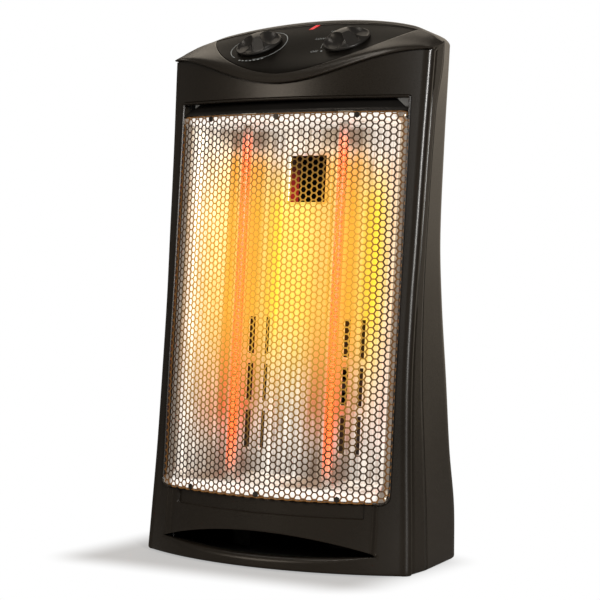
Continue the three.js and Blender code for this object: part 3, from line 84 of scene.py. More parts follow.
# Steps round an edge's arc at turns in degrees: a radius less its cosine part and less its sine part.
def rounded(radius, *turns):
    return [(radius * (1 - math.cos(turn)), radius * (1 - math.sin(turn))) for turn in np.radians(turns)]


# A smooth curve through a table's rows: cubic pieces whose slopes come from the rows on both sides.
def readTable(table, at, column):
    at = np.clip(at, 0, 1)
    row = np.clip(np.searchsorted(table[:, 0], at, side="right") - 1, 0, len(table) - 2)
    before, after = np.maximum(row - 1, 0), np.minimum(row + 2, len(table) - 1)
    key, value = table[:, 0], table[:, column]
    span = key[row + 1] - key[row]
    slopeFrom = (value[row + 1] - value[before]) / (key[row + 1] - key[before]) * span
    slopeTo = (value[after] - value[row]) / (key[after] - key[row]) * span
    s = (at - key[row]) / span
    return ((2 * s ** 3 - 3 * s ** 2 + 1) * value[row] + (s ** 3 - 2 * s ** 2 + s) * slopeFrom
            + (3 * s ** 2 - 2 * s ** 3) * value[row + 1] + (s ** 3 - s ** 2) * slopeTo)


# From 0 at low to 1 at high: three times the share's square less twice its cube.
def smoothStep(value, low, high):
    s = np.clip((value - low) / (high - low), 0, 1)
    return s * s * (3 - 2 * s)


# Depth of the front corner at a height: the lean times its share in the table.
def cornerDepth(z):
    return body["lean"] * readTable(sideTable, z / body["height"], 1)


# Half the width at a height, by its share in the table: narrow at the waist.
def halfWidth(z):
    return body["halfWidth"] * readTable(sideTable, z / body["height"], 2)


# Depth of the back wall: the front corner's and the body's own depth at that height.
def rearDepth(z):
    return cornerDepth(z) + body["depth"] * readTable(sideTable, z / body["height"], 4)


# The bowed front: a circle's arc between the two front corners.
def frontDepth(x, z):
    width = halfWidth(z)
    reach = np.minimum(np.abs(x), width)
    return cornerDepth(z) - np.sqrt(bowRadius ** 2 - reach ** 2) + np.sqrt(bowRadius ** 2 - width ** 2)


headHalfWidth = float(halfWidth(np.array(body["crown"] - body["crownDrop"])))


# Share of the way from the middle of the head to its end.
def across(x):
    return np.minimum(np.abs(x) / headHalfWidth, 1)


# The brow line rises to its ends with the square of a sine.
def browZ(x):
    return body["brow"] + body["browRise"] * np.sin(across(x) * math.pi / 2) ** 2


# The crown's line falls to its ends with the square and the fourth power, and rounds off at the tips.
def crownZ(x):
    square, fourth = body["dropShares"]
    end = body["endDrop"] * smoothStep(np.abs(x), body["endFrom"], headHalfWidth)
    past = (np.abs(x) - body["cornerFrom"]) / (headHalfWidth - body["cornerFrom"])
    end = end + body["cornerDrop"] * np.clip(past, 0, 1) ** 2
    return body["crown"] - body["crownDrop"] * (square * across(x) ** 2 + fourth * across(x) ** 4) - end


# The crown's edge sweeps forward to its ends with a power of the share.
def crownY(x):
    return body["crownDepth"] - body["crownSweep"] * across(x) ** body["sweepPower"]


# The head's face: from the brow line (rise 0) to the crown's edge (rise 1).
def headPoint(x, rise):
    low = frontDepth(x, browZ(x)) - body["overhang"]
    back = readTable(headTable, rise, 1)
    return partWay(low, crownY(x), back), partWay(browZ(x), crownZ(x), rise)


# The seam runs parallel to the front corner, then sweeps back over the crown.
def seamDepth(x, z):
    plain = cornerDepth(z) + body["flank"] * readTable(sideTable, z / body["height"], 3)
    top = crownY(x) + body["crownLip"]
    sweepEnd = body["brow"] + body["browRise"] + body["overhang"]
    return partWay(plain, top, smoothStep(z, body["brow"] - body["browRise"], sweepEnd))


# The seam beside the head's end, half its gap before (-1) or behind (1) the middle.
def seamEdge(z, side):
    return seamDepth(headHalfWidth, z) + side * body["seamGap"] / 2


# Height of the crown's cap at a place: it falls a little from the front edge to the rear.
def capZ(x, y):
    front = crownY(x) + body["capMargin"]
    rear = rearDepth(body["height"]) - body["capMargin"]
    lift = body["crownRise"] * (1 - smoothStep(np.abs(x), *body["riseEnd"]))
    return crownZ(x) + lift - body["rearFall"] * np.clip((y - front) / (rear - front), 0, 1)


# Quads of a grid of points; they face the viewer for whom columns run right and rows run up.
def gridFaces(rows, columns, wrap=False, keep=None):
    r, c = np.meshgrid(np.arange(rows - 1), np.arange(columns if wrap else columns - 1), indexing="ij")
    if keep is not None:
        r, c = r[keep], c[keep]
    right = (c + 1) % columns
    quads = [r * columns + c, r * columns + right, (r + 1) * columns + right, (r + 1) * columns + c]
    return np.stack(quads, -1).reshape(-1, 4)


# A patch is a grid of points with its faces.
def patch(grid, **settings):
    return grid, gridFaces(*grid.shape[:2], **settings)


# How far each point of a row has come along it, as a share, seen from above.
def shareAlong(row):
    walk = np.concatenate([[0], np.cumsum(np.linalg.norm(np.diff(row[:, :2], axis=0), axis=1))])
    return walk / walk[-1]


# An object of the given data in the scene.
def linked(name, data):
    made = bpy.data.objects.new(name, data)
    bpy.context.scene.collection.objects.link(made)
    return made


# One mesh object from patches of points (millimetres) and faces, welded where they meet.
def addPiece(name, patches, finish, weld=0.02, sharpTurn=38, wall=None):
    points, faces, start = [], [], 0
    for patchPoints, patchFaces in patches:
        flat = np.asarray(patchPoints, float).reshape(-1, 3)
        points.append(flat)
        faces += [[int(corner) + start for corner in face] for face in patchFaces]
        start += len(flat)
    place = np.concatenate(points) * mm
    place[:, 1] -= body["backShift"] * mm
    mesh = bpy.data.meshes.new(name)
    mesh.from_pydata(place.tolist(), [], faces)
    shape = bmesh.new()
    shape.from_mesh(mesh)
    bmesh.ops.remove_doubles(shape, verts=shape.verts, dist=weld * mm)
    loose = [vertex for vertex in shape.verts if not vertex.link_faces]
    bmesh.ops.delete(shape, geom=loose, context="VERTS")
    shape.to_mesh(mesh)
    shape.free()
    mesh.shade_smooth()
    mesh.set_sharp_from_angle(angle=math.radians(sharpTurn))
    piece = linked(name, mesh)
    piece.data.materials.append(finish)
    if wall:                                           # the skin is the outer face
        solid = piece.modifiers.new("Solidify", "SOLIDIFY")
        solid.thickness, solid.offset = wall * mm, -1
    return piece


# The body a piece rides on, its material slot, which is not used, and the nodes that it stands for.
def settle(piece, rides, slotName, *nodes):
    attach(piece, rides)
    if nodes:
        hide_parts(*nodes)
    return piece


# A mirrored copy of a right half grid, centre column shared.
def mirrored(half):
    left = half[:, :0:-1] * np.array([-1, 1, 1])
    return np.concatenate([left, half], axis=1)


# Bends squares round a corner's centre into circles, fully up to the radius and fading out beyond it.
def roundCorner(x, z, centre, signs, radius, fade):
    dx, dz = (x - centre[0]) * signs[0], (z - centre[1]) * signs[1]
    size = np.maximum(dx, dz)
    inside = (dx > 0) & (dz > 0)
    safe = np.where(size > 1e-9, size, 1)
    lean = np.minimum(dx, dz) / safe * math.pi / 4
    turn = np.where(dx >= dz, lean, math.pi / 2 - lean)
    weight = np.where(inside, 1 - smoothStep(size, radius, radius + fade), 0)
    newX = centre[0] + signs[0] * (dx + (size * np.cos(turn) - dx) * weight)
    newZ = centre[1] + signs[1] * (dz + (size * np.sin(turn) - dz) * weight)
    return np.where(inside, newX, x), np.where(inside, newZ, z)


# Materials. A wire is a socket that Python's operators can work on.
class Wire:
    def __init__(self, finish, socket):
        self.finish, self.socket = finish, socket

    def maths(self, operation, *others):
        return self.finish.node("ShaderNodeMath", {"operation": operation}, [self, *others])

    def __add__(self, other):
        return self.maths("ADD", other)

    def __sub__(self, other):
        return self.maths("SUBTRACT", other)

    def __mul__(self, other):
        return self.maths("MULTIPLY", other)

    def __rsub__(self, other):
        return self.finish.node("ShaderNodeMath", {"operation": "SUBTRACT"}, [other, self])

    def __pow__(self, other):
        return self.maths("POWER", other)

    __radd__, __rmul__ = __add__, __mul__

    def away(self):
        return self.maths("ABSOLUTE")

    def larger(self, other):
        return self.maths("MAXIMUM", other)

    def between(self, low, high):                      # rises smoothly from 0 at low to 1 at high
        return self.finish.node("ShaderNodeMapRange", {"interpolation_type": "SMOOTHSTEP"},
                                [self, low, high])

    def band(self, rise, fall):                        # up over the first pair, down over the second
        return self.between(*rise) * (1 - self.between(*fall))

    def bell(self, middle, reach):                     # 1 near the middle, 0 beyond the reach
        return 1 - (self - middle).away().between(reach * 0.25, reach)


# A material, or a world where one is given, with its nodes made by node().
class Finish:
    def __init__(self, name, owner=None, **values):
        self.material = owner or bpy.data.materials.new(name)
        self.material.use_nodes = True
        self.tree = self.material.node_tree
        self.surface = self.tree.nodes.get("Principled BSDF")
        self.set(**values)

    def node(self, kind, settings, inputs, output=0):
        made = self.tree.nodes.new(kind)
        for key, value in settings.items():
            setattr(made, key, value)
        pairs = inputs.items() if isinstance(inputs, dict) else enumerate(inputs)
        for key, value in pairs:
            self.feed(made.inputs[key], value)
        return Wire(self, made.outputs[output])

    def feed(self, socket, value):
        if isinstance(value, Wire):
            self.tree.links.new(value.socket, socket)
        elif isinstance(value, tuple) and len(value) == 3 and socket.type == "RGBA":
            socket.default_value = (*value, 1)
        else:
            socket.default_value = value

    def set(self, **values):                           # BaseColor feeds the socket Base Color
        for key, value in values.items():
            words = "".join(" " + letter if letter.isupper() else letter for letter in key).strip()
            self.feed(self.surface.inputs[words[0].upper() + words[1:]], value)
        return self.material

    def place(self):
        return self.node("ShaderNodeTexCoord", {}, {}, "Object")

    def axes(self):
        split = self.node("ShaderNodeSeparateXYZ", {}, [self.place()])
        outputs = split.socket.node.outputs
        return [Wire(self, outputs[axis]) for axis in range(3)]

    def noise(self, scale, detail=3, place=None):
        return self.node("ShaderNodeTexNoise", {}, {
            "Vector": place or self.place(), "Scale": scale, "Detail": detail})

    def grain(self, stretch, detail=3):                # noise drawn out along an axis
        drawn = self.node("ShaderNodeVectorMath", {"operation": "MULTIPLY"}, [self.place(), stretch])
        return self.noise(1, detail, drawn)

    def mix(self, mask, low, high):
        return self.node("ShaderNodeMix", {"data_type": "RGBA"}, {0: mask, 6: low, 7: high}, 2)

    def bump(self, height, strength, distance):
        return self.node("ShaderNodeBump", {}, {
            "Strength": strength, "Distance": distance * mm, "Height": height})


mould = {"cloudScale": 9, "grainDepth": 0.12, "cloudGain": 1.4, "fineTone": 0.5, "fineRough": 0.25,
         "cloudRough": 0.12}
metalLook = {"blotchScale": 22, "grainTone": 0.6, "blotchTone": 0.4, "blotchRough": 0.3, "grainLift": 0.12,
             "grainDepth": 0.05}


# Moulded plastic: fine spark-eroded grain, slow cloudy tone, duller where hands rub it.
def mouldedPlastic(name, dark, light, roughness, grain=0.25, grainScale=2200, shine=0.5):
    finish = Finish(name)
    finish.surface.inputs["Specular IOR Level"].default_value = shine
    cloud = finish.noise(mould["cloudScale"], 2)
    fine = finish.noise(grainScale, 2)
    tone = (cloud - 0.5) * mould["cloudGain"] + 0.5
    colour = finish.mix(tone + (fine - 0.5) * mould["fineTone"], dark, light)
    rough = (fine - 0.5) * mould["fineRough"] + (cloud - 0.5) * mould["cloudRough"] + roughness
    return finish.set(BaseColor=colour, Roughness=rough,
                      Normal=finish.bump(fine, grain, mould["grainDepth"]))


# Sheet metal: drawn grain along one axis, faint blotches.
def sheetMetal(name, dark, light, roughness, metallic=1.0, stretch=(900, 900, 30)):
    finish = Finish(name)
    grain = finish.grain(stretch)
    blotch = finish.noise(metalLook["blotchScale"], 3)
    tone = grain * metalLook["grainTone"] + blotch * metalLook["blotchTone"]
    return finish.set(BaseColor=finish.mix(tone, dark, light),
                      Roughness=(blotch - 0.5) * metalLook["blotchRough"] + roughness, Metallic=metallic,
                      Normal=finish.bump(grain, metalLook["grainLift"], metalLook["grainDepth"]))


shellPlastic = mouldedPlastic("shellPlastic", (0.009, 0.0069, 0.0046), (0.015, 0.0114, 0.0076), 0.3)
panelPlastic = mouldedPlastic("panelPlastic", (0.0036, 0.003, 0.0024), (0.0065, 0.0054, 0.0042), 0.42,
                              shine=0.06)
knobPlastic = mouldedPlastic("knobPlastic", (0.009, 0.008, 0.007), (0.015, 0.0135, 0.012), 0.36, 0.06)
blackPlastic = mouldedPlastic("blackPlastic", (0.009, 0.009, 0.009), (0.018, 0.017, 0.016), 0.5)
footRubber = mouldedPlastic("footRubber", (0.008, 0.008, 0.008), (0.02, 0.02, 0.02), 0.8, 0.4, 900)
ceramic = mouldedPlastic("ceramic", (0.68, 0.63, 0.53), (0.8, 0.76, 0.66), 0.7, 0.35, 1200)
galvanised = sheetMetal("galvanised", (0.36, 0.36, 0.36), (0.56, 0.56, 0.55), 0.42)
satinSteel = sheetMetal("satinSteel", (0.3, 0.3, 0.29), (0.5, 0.5, 0.49), 0.35)
darkScrew = sheetMetal("darkScrew", (0.03, 0.027, 0.024), (0.07, 0.062, 0.055), 0.4, 0.8)
slotSteel = sheetMetal("slotSteel", (0.012, 0.011, 0.01), (0.03, 0.027, 0.024), 0.38, 0.5, (30, 900, 900))

# Places on the guard, in metres, for its painted light: a painted highlight where its edges catch light, and
# a painted glow where wires before the hot tray take its colour.
guardPaintedLight = {"sides": (0.135, 0.144), "foot": (0.078, 0.088), "top": (0.474, 0.481), "topShare": 0.8,
            "hotSides": (0.095, 0.134), "hotRise": (0.10, 0.28), "hotFall": (0.36, 0.46),
            "hot": (0.72, 0.36, 0.035), "cool": (0.012, 0.006, 0.003), "rim": (0.21, 0.085, 0.015)}


# Painted light as emission. Painted highlight on the edges: the largest of the masks at the sides, the foot
# and the top. Painted glow of the hot tray on the wires before it: heat, the product of the masks inside the
# sides and between the rise and fall heights.
def guardCoatingPaintedGlow():
    finish = Finish("guardCoatingPaintedGlow")
    speck = finish.noise(700, 2)
    x, y, z = finish.axes()
    edge = x.away().between(*guardPaintedLight["sides"]).larger(1 - z.between(*guardPaintedLight["foot"]))
    edge = edge.larger(z.between(*guardPaintedLight["top"]) * guardPaintedLight["topShare"])
    heat = (1 - x.away().between(*guardPaintedLight["hotSides"])) * z.between(*guardPaintedLight["hotRise"])
    heat = heat * (1 - z.between(*guardPaintedLight["hotFall"]))
    lit = finish.mix(heat, guardPaintedLight["cool"], guardPaintedLight["hot"])
    return finish.set(BaseColor=finish.mix(speck, (0.035, 0.022, 0.013), (0.08, 0.048, 0.024)),
                      Roughness=speck * 0.3 + 0.35, Metallic=0.6,
                      # Emission paints the light: the painted glow before the tray and the painted highlight
                      # on the edges.
                      EmissionColor=finish.mix(edge * (speck * 0.8 + 0.3), lit, guardPaintedLight["rim"]),
                      EmissionStrength=1.0)


# The tray's emission paints the light of the tubes on it: a painted silver sheen over it and at its rim, a
# painted yellow glow where it is hottest, painted orange to red-brown reflections where a trough's wall
# throws the tube back, and painted shade at the troughs' ends. Shift and reach are millimetres; the other
# pairs are places in metres, across (sides) or up.
glow = {"shift": 24, "reach": 44, "rise": (0.13, 0.29), "fall": (0.375, 0.45), "sides": (0.088, 0.138),
        "hotRise": (0.10, 0.17), "hotFall": (0.425, 0.465), "orangeRise": (0.15, 0.29),
        "footEnd": (0.095, 0.15), "topShadeRise": (0.44, 0.458), "topShadeFall": (0.466, 0.474),
        "flange": (0.129, 0.134), "lipRise": (0.083, 0.086), "lipFall": (0.474, 0.478),
        "grey": (0.22, 0.18, 0.15), "silver": (0.98, 0.93, 0.85), "yellow": (1.0, 0.70, 0.04),
        "redBrown": (0.55, 0.13, 0.05), "orange": (1.0, 0.42, 0.03), "dark": (0.11, 0.06, 0.04),
        "shaded": (0.09, 0.065, 0.045), "lip": (0.98, 0.95, 0.9)}


# Painted light as emission: a streaked silver sheen, mixed in turn with the yellow glow, the walls' orange
# reflections, the painted shade of the ends and the painted shade of the flange.
def reflectorPaintedLight():
    finish = Finish("reflectorPaintedLight")
    x, y, z = finish.axes()
    side = x.away()
    middle, reach = (tubes["x"] - glow["shift"]) * mm, glow["reach"] * mm
    wall = x.bell((-tubes["x"] - glow["shift"]) * mm, reach).larger(x.bell(middle, reach))
    cloud = finish.noise(26, 3)
    streak = finish.grain((130, 130, 6))
    fine = finish.noise(240, 2)
    lines = finish.grain((420, 420, 3), 1)
    tone = (streak - 0.5) * 1.5 + (lines - 0.5) * 1.3 + (cloud - 0.5) * 0.7 + 0.58
    white = finish.mix(tone, glow["grey"], glow["silver"])
    ridge = (1 - side.between(*glow["sides"])) * z.between(*glow["rise"]) * (1 - z.between(*glow["fall"]))
    warm = finish.mix(ridge * (1.0 - (lines - 0.5) * 0.5), white, glow["yellow"])
    hot = z.band(glow["hotRise"], glow["hotFall"])
    orange = finish.mix(z.between(*glow["orangeRise"]), glow["redBrown"], glow["orange"])
    wide = finish.mix(wall * hot * (0.95 - (streak - 0.5) * 0.9), warm, orange)
    # Painted shade at the troughs' low and high ends.
    end = (1 - z.between(*glow["footEnd"])).larger(z.band(glow["topShadeRise"], glow["topShadeFall"]))
    dark = finish.mix(wall * end * 0.85, wide, glow["dark"])
    flange = side.between(*glow["flange"])
    trimmed = finish.mix(flange * 0.8, dark, glow["shaded"])
    lip = z.band(glow["lipRise"], glow["lipFall"]) * (1 - flange)
    return finish.set(BaseColor=(0.3, 0.25, 0.18), Metallic=1.0, Roughness=fine * 0.15 + 0.22,
                      EmissionColor=finish.mix(lip.larger(flange), glow["lip"], trimmed),
                      EmissionStrength=1.0)


# Heat fades in over the low pair of heights and out over the high pair, along a tube or its wire.
def glowing(name, cold, hot, strength, low, high, alpha=1.0):
    finish = Finish(name)
    z = finish.axes()[2]
    streak = finish.noise(60, 3)
    heat = z.band(low, high)
    return finish.set(BaseColor=finish.mix(heat, cold, hot), Roughness=streak * 0.2 + 0.15, Alpha=alpha,
                      EmissionColor=finish.mix(heat * (streak * 0.3 + 0.8), (0.0, 0.0, 0.0), hot),
                      EmissionStrength=strength)


# Worn pale ink: the noise chooses between two greys.
def printInk():
    finish = Finish("printInk")
    worn = finish.noise(500, 2)
    return finish.set(BaseColor=finish.mix(worn, (0.28, 0.30, 0.31), (0.42, 0.45, 0.46)),
                      Roughness=worn * 0.2 + 0.5)


# Front shell: one skin from the foot to the crown, open at the window, the crescent and the panel.
window = {"halfWidth": 145.7, "low": 74.3, "high": 500, "lowCorner": 9.7, "highCorner": 2, "edge": 1.3,
          "depth": 12.5, "lowFade": 7, "highFade": 4}
bay = {"flat": 127, "edge": 135.5, "depth": 4.5, "pocket": 119, "pocketSoft": 0.6, "pocketLow": 59,
       "lowSoft": 0.5, "pocketDepth": 3, "reach": 4, "pocketStep": 0.7, "pocketRise": 2,
       "columnsFrom": 121.5}
crescent = {"halfWidth": 137, "tip": 21.4, "top": 39.5, "bottom": 15, "railRound": 5, "railDepth": 9,
            "lip": 1.1, "lipDepth": 2.4, "railShare": 0.4, "lipShare": 0.1, "lipDepthShare": 0.3}
panel = {"halfWidth": 130, "low": 526, "rise": 45, "power": 1.75, "endPower": 8, "gap": 0.5, "gapShare": 75,
         "setBack": 0.6, "sheet": 1.1, "end": 0.965, "margin": 1.2, "endGap": 0.005, "trim": (0.002, 0.985),
         "square": (0.5, 0.87)}
browLip = {"round": 1.4, "grooveDepth": 2.2, "overlap": 0.1, "faceStart": 0.05, "fallFrom": 546}
beadSteps = {"first": 9, "last": 151, "step": 9, "room": 3.2, "gap": 1.2, "grooveEase": 0.6,
             "easeShare": 0.06}


# The bay's floor behind the face: it fades out at its sides, and its pocket is deeper still.
def bayDepth(x, z):
    soft, lowSoft = bay["pocketSoft"], bay["lowSoft"]
    recess = bay["depth"] * (1 - smoothStep(np.abs(x), bay["flat"], bay["edge"]))
    pocket = 1 - smoothStep(np.abs(x), bay["pocket"] - soft, bay["pocket"] + soft)
    pocket = pocket * smoothStep(z, bay["pocketLow"] - lowSoft, bay["pocketLow"] + lowSoft)
    return (recess + bay["pocketDepth"] * pocket) * (z < window["low"] + bay["reach"])


# A height on the head as a share of the way from the brow line to the crown's edge.
def riseAt(x, z):
    return (z - browZ(x)) / (crownZ(x) - browZ(x))


# The panel's lower edge as a share of the head's rise; it runs out at the crown's edge.
def panelEdge(x):
    share = np.minimum(np.abs(x) / panel["halfWidth"], 1)
    rise = riseAt(x, panel["low"] + panel["rise"] * share ** panel["power"])
    tip = riseAt(panel["halfWidth"], panel["low"] + panel["rise"])
    return np.where(share < 1, rise + (panel["end"] - tip) * share ** panel["endPower"], panel["end"])


# Heights of the two edges of the crescent opening: parabolas that meet at its tips.
def crescentEdges(x):
    share = 1 - np.minimum(np.abs(x) / crescent["halfWidth"], 1) ** 2
    return [partWay(crescent["tip"], crescent[edge], share) for edge in ("bottom", "top")]


# Columns beside the front: round the bead, through the groove behind it and along the flank. The
# bead is a circle, squeezed where the crown's lip leaves it no room.
def sideColumns(y, z, width, endDepth):
    radius, room = body["bead"], 2 * body["bead"] + beadSteps["room"]
    ease, easeShare = beadSteps["grooveEase"], beadSteps["easeShare"]
    turn = np.radians(np.arange(beadSteps["first"], beadSteps["last"], beadSteps["step"]))[None, :]
    y, z, width, endDepth = (np.asarray(value, float)[:, None] for value in (y, z, width, endDepth))
    squeeze = np.minimum((endDepth - y) / room, 1)
    beadX = width - radius + radius * np.sin(turn)
    beadY = y + (radius - radius * np.cos(turn)) * squeeze
    flank = np.array([0, easeShare, 0.2, 0.5, 0.85, 1])[None, :]
    start = y + (2 * radius + beadSteps["gap"]) * squeeze
    grooveX = width - body["groove"] - ease + ease * np.minimum(flank / easeShare, 1)
    flankY = partWay(start, endDepth, flank)
    x = np.concatenate([beadX, grooveX + 0 * y], axis=1)
    return joined(x, np.concatenate([beadY, flankY], axis=1), z)


# Rows of the face from the foot to the brow, as (heights, depth behind the face, inset), with the
# numbers of the rows at the crescent, the sill and the lintel. Rounded edges are circles' arcs.
def frontRows(xs):
    edge, foot, footRound = window["edge"], body["footGap"], body["footRound"]
    railLow, bayLow = crescentEdges(xs)
    gap = bayLow - railLow
    level = 0 * xs
    rows = []
    for rise, inset in rounded(footRound, 0, 25, 50, 70, 90):                # soft lower edge
        rows.append((foot + rise + level, level, inset))
    railRound = np.minimum(crescent["railRound"], crescent["railShare"] * gap)
    for share in np.linspace(0, 1, 6)[1:]:
        rows.append((partWay(foot + footRound, railLow - railRound, share), level, 0))
    for deep, below in rounded(railRound, 18, 36, 54, 72, 90):
        rows.append((railLow - below, deep, 0))
    rows.append((railLow, railRound + np.minimum(crescent["railDepth"], gap), 0))
    hole = len(rows) - 1
    rolled = np.minimum(crescent["lip"], crescent["lipShare"] * gap)
    rows.append((bayLow, rolled + np.minimum(crescent["lipDepth"], crescent["lipDepthShare"] * gap), 0))
    for deep, above in rounded(rolled, 90, 60, 30, 0):
        rows.append((bayLow + above, deep, 0))
    pocketLow, soft = bay["pocketLow"], bay["pocketSoft"]
    start = bayLow + rolled
    for share in np.linspace(0.08, 1, 10):
        rows.append((partWay(start, pocketLow - soft, share), level, 0))
    windowLow, windowHigh = window["low"] - edge, window["high"] + edge
    for height in [pocketLow, pocketLow + soft, *np.linspace(pocketLow + bay["pocketRise"], windowLow, 8)]:
        rows.append((height + level, level, 0))
    sillRow = len(rows) - 1
    lowCorner, highCorner = window["lowCorner"] + edge, window["highCorner"] + edge
    for height in [*np.linspace(windowLow, windowLow + lowCorner, 9)[1:],
                   *np.linspace(windowLow + lowCorner, windowHigh - highCorner, 60)[1:],
                   *np.linspace(windowHigh - highCorner, windowHigh, 5)[1:]]:
        rows.append((height + level, level, 0))
    lintelRow = len(rows) - 1
    top = browZ(xs) - body["browGroove"]
    for share in [0.06, 0.15, 0.3, 0.45, 0.6, 0.75, 0.9, 1]:
        rows.append((partWay(windowHigh, top, share), level, 0))
    rows.append((top + browLip["overlap"], browLip["grooveDepth"] + level, 0))
    rows.append((browZ(xs) - browLip["overlap"], browLip["grooveDepth"] + level, 0))
    return rows, hole, sillRow, lintelRow


openHalf = window["halfWidth"] + window["edge"]
# Columns from the middle to the window's edge, then shares of the way from there to the bead.
fixedX = np.concatenate([
    np.linspace(0, bay["pocket"] - bay["pocketStep"], 32),
    [bay["pocket"], bay["pocket"] + bay["pocketStep"]],
    np.linspace(bay["columnsFrom"], bay["flat"], 4), np.linspace(bay["flat"], panel["halfWidth"], 4)[1:],
    np.linspace(panel["halfWidth"], crescent["halfWidth"], 8)[1:],
    np.linspace(crescent["halfWidth"], openHalf, 8)[1:]])
spreadShares = np.array([0.1, 0.25, 0.45, 0.7, 1.0])


# The body below the brow: the bowed face with the bay's recess, then bead, groove and flank.
def bodyBand(rows, gapRow, lintelRow):
    edge = window["edge"]
    z, back = np.array([row[0] for row in rows]), np.array([row[1] for row in rows])
    inset = np.array([row[2] for row in rows], float)[:, None]
    browRows = np.arange(len(rows)) > lintelRow
    sideZ = np.where(browRows[:, None], z[:, -1:] + (browZ(headHalfWidth) - browZ(openHalf)), z[:, -1:])
    beadX = halfWidth(sideZ) - body["bead"] - inset
    outerX = partWay(openHalf, beadX, spreadShares)
    outerZ = partWay(z[:, -1:], sideZ, spreadShares)
    x = np.concatenate([fixedX + 0 * z, outerX], axis=1)
    z = np.concatenate([z, outerZ], axis=1)
    back = np.concatenate([back, back[:, -1:] + 0 * spreadShares], axis=1)
    lowCorner, highCorner = window["lowCorner"] + edge, window["highCorner"] + edge
    lowCentre = (openHalf - lowCorner, window["low"] - edge + lowCorner)
    highCentre = (openHalf - highCorner, window["high"] + edge - highCorner)
    x, z = roundCorner(x, z, lowCentre, (1, -1), lowCorner, window["lowFade"])
    x, z = roundCorner(x, z, highCentre, (1, 1), highCorner, window["highFade"])
    recess = bayDepth(x, z)
    recess[:gapRow + 1] = 0
    y = frontDepth(x, z) + back + inset + recess
    width = halfWidth(z[:, -1]) - inset[:, 0]
    side = sideColumns(y[:, -1], z[:, -1], width, seamEdge(z[:, -1], -1))
    return np.concatenate([joined(x, y, z), side], axis=1)


# The head: a rounded lip over the brow, its face up to the panel's edge, and the strip above that.
# Also gives the number of rows below the panel.
def headBand():
    headX = np.concatenate([fixedX, partWay(openHalf, headHalfWidth - body["bead"], spreadShares)])
    edgeRise = panelEdge(headX)
    rows = []
    for up, deep in rounded(browLip["round"], 0, 30, 60, 90):
        y = frontDepth(headX, browZ(headX)) - body["overhang"] + deep
        rows.append(joined(headX, y, browZ(headX) + up - browLip["overlap"]))
    rises = [partWay(browLip["faceStart"], edgeRise, share) for share in np.linspace(0, 1, 22)[1:]]
    below = len(rows) + len(rises)
    trimStart, trimEnd = panel["trim"]
    for rise in [*rises, panel["end"] + trimStart, trimEnd, 1]:
        rows.append(joined(headX, *headPoint(headX, rise)))
    face = np.array(rows)
    sideHeight = face[:, -1, 2]
    side = sideColumns(face[:, -1, 1], sideHeight, headHalfWidth + 0 * sideHeight,
                       seamEdge(sideHeight, -1))
    fall = crownZ(side[..., 0]) - crownZ(face[:, -1:, 0])
    side[..., 2] += fall * smoothStep(sideHeight, browLip["fallFrom"], sideHeight[-1])[:, None]
    return np.concatenate([face, side], axis=1), below, len(headX)


# Rings from an edge to the seam, which runs before (-1) or behind (1) the middle of its gap. Each
# goes its share of the way, and the rise of that share lifts it to the cap's height.
def capRings(ring, goalX, side, shares, riseOf):
    goalY = crownY(goalX) + body["crownLip"] + side * body["seamGap"] / 2
    cap = []
    for share in shares:
        x, y = partWay(ring[:, 0], goalX, share), partWay(ring[:, 1], goalY, share)
        cap.append(joined(x, y, partWay(ring[:, 2], capZ(x, y), riseOf(share))))
    return np.array(cap)


# The crown rises along a quarter sine. The ring at its edge takes the cap's height beside the seam.
def crownCap(ring, faceCount):
    behind = smoothStep(np.arange(len(ring)), faceCount + 4, len(ring) - 1)
    ring[:, 2] += (capZ(ring[:, 0], ring[:, 1]) - ring[:, 2]) * behind
    return capRings(ring, shareAlong(ring) * (headHalfWidth - body["groove"]), -1,
                    [0.04, 0.1, 0.18, 0.28, 0.4, 0.6, 0.8, 1],
                    lambda share: math.sin(min(share / body["capShare"], 1) * math.pi / 2))


# The three bands as one mirrored grid, with its quads left out at the openings.
def frontShell():
    rows, gapRow, sillRow, lintelRow = frontRows(fixedX)
    lower = bodyBand(rows, gapRow, lintelRow)
    head, below, faceCount = headBand()
    grid = mirrored(np.concatenate([lower, head, crownCap(head[-1], faceCount)]))
    beside = lower.shape[1] - len(fixedX)              # columns outside the window
    middleX = np.abs((grid[:, 1:, 0] + grid[:, :-1, 0]) / 2)[:-1]
    inner = np.zeros(grid.shape[1] - 1, bool)
    inner[beside:-beside] = True
    r = np.arange(len(grid) - 1)[:, None]
    keep = ~((r == gapRow) & (middleX < crescent["halfWidth"]))
    keep &= ~((r >= sillRow) & (r < lintelRow) & inner)
    keep &= ~((r == len(lower) + below - 1) & (middleX < panel["halfWidth"]) & inner)
    return [patch(grid, keep=keep), windowReturn(grid, sillRow, lintelRow, beside)]


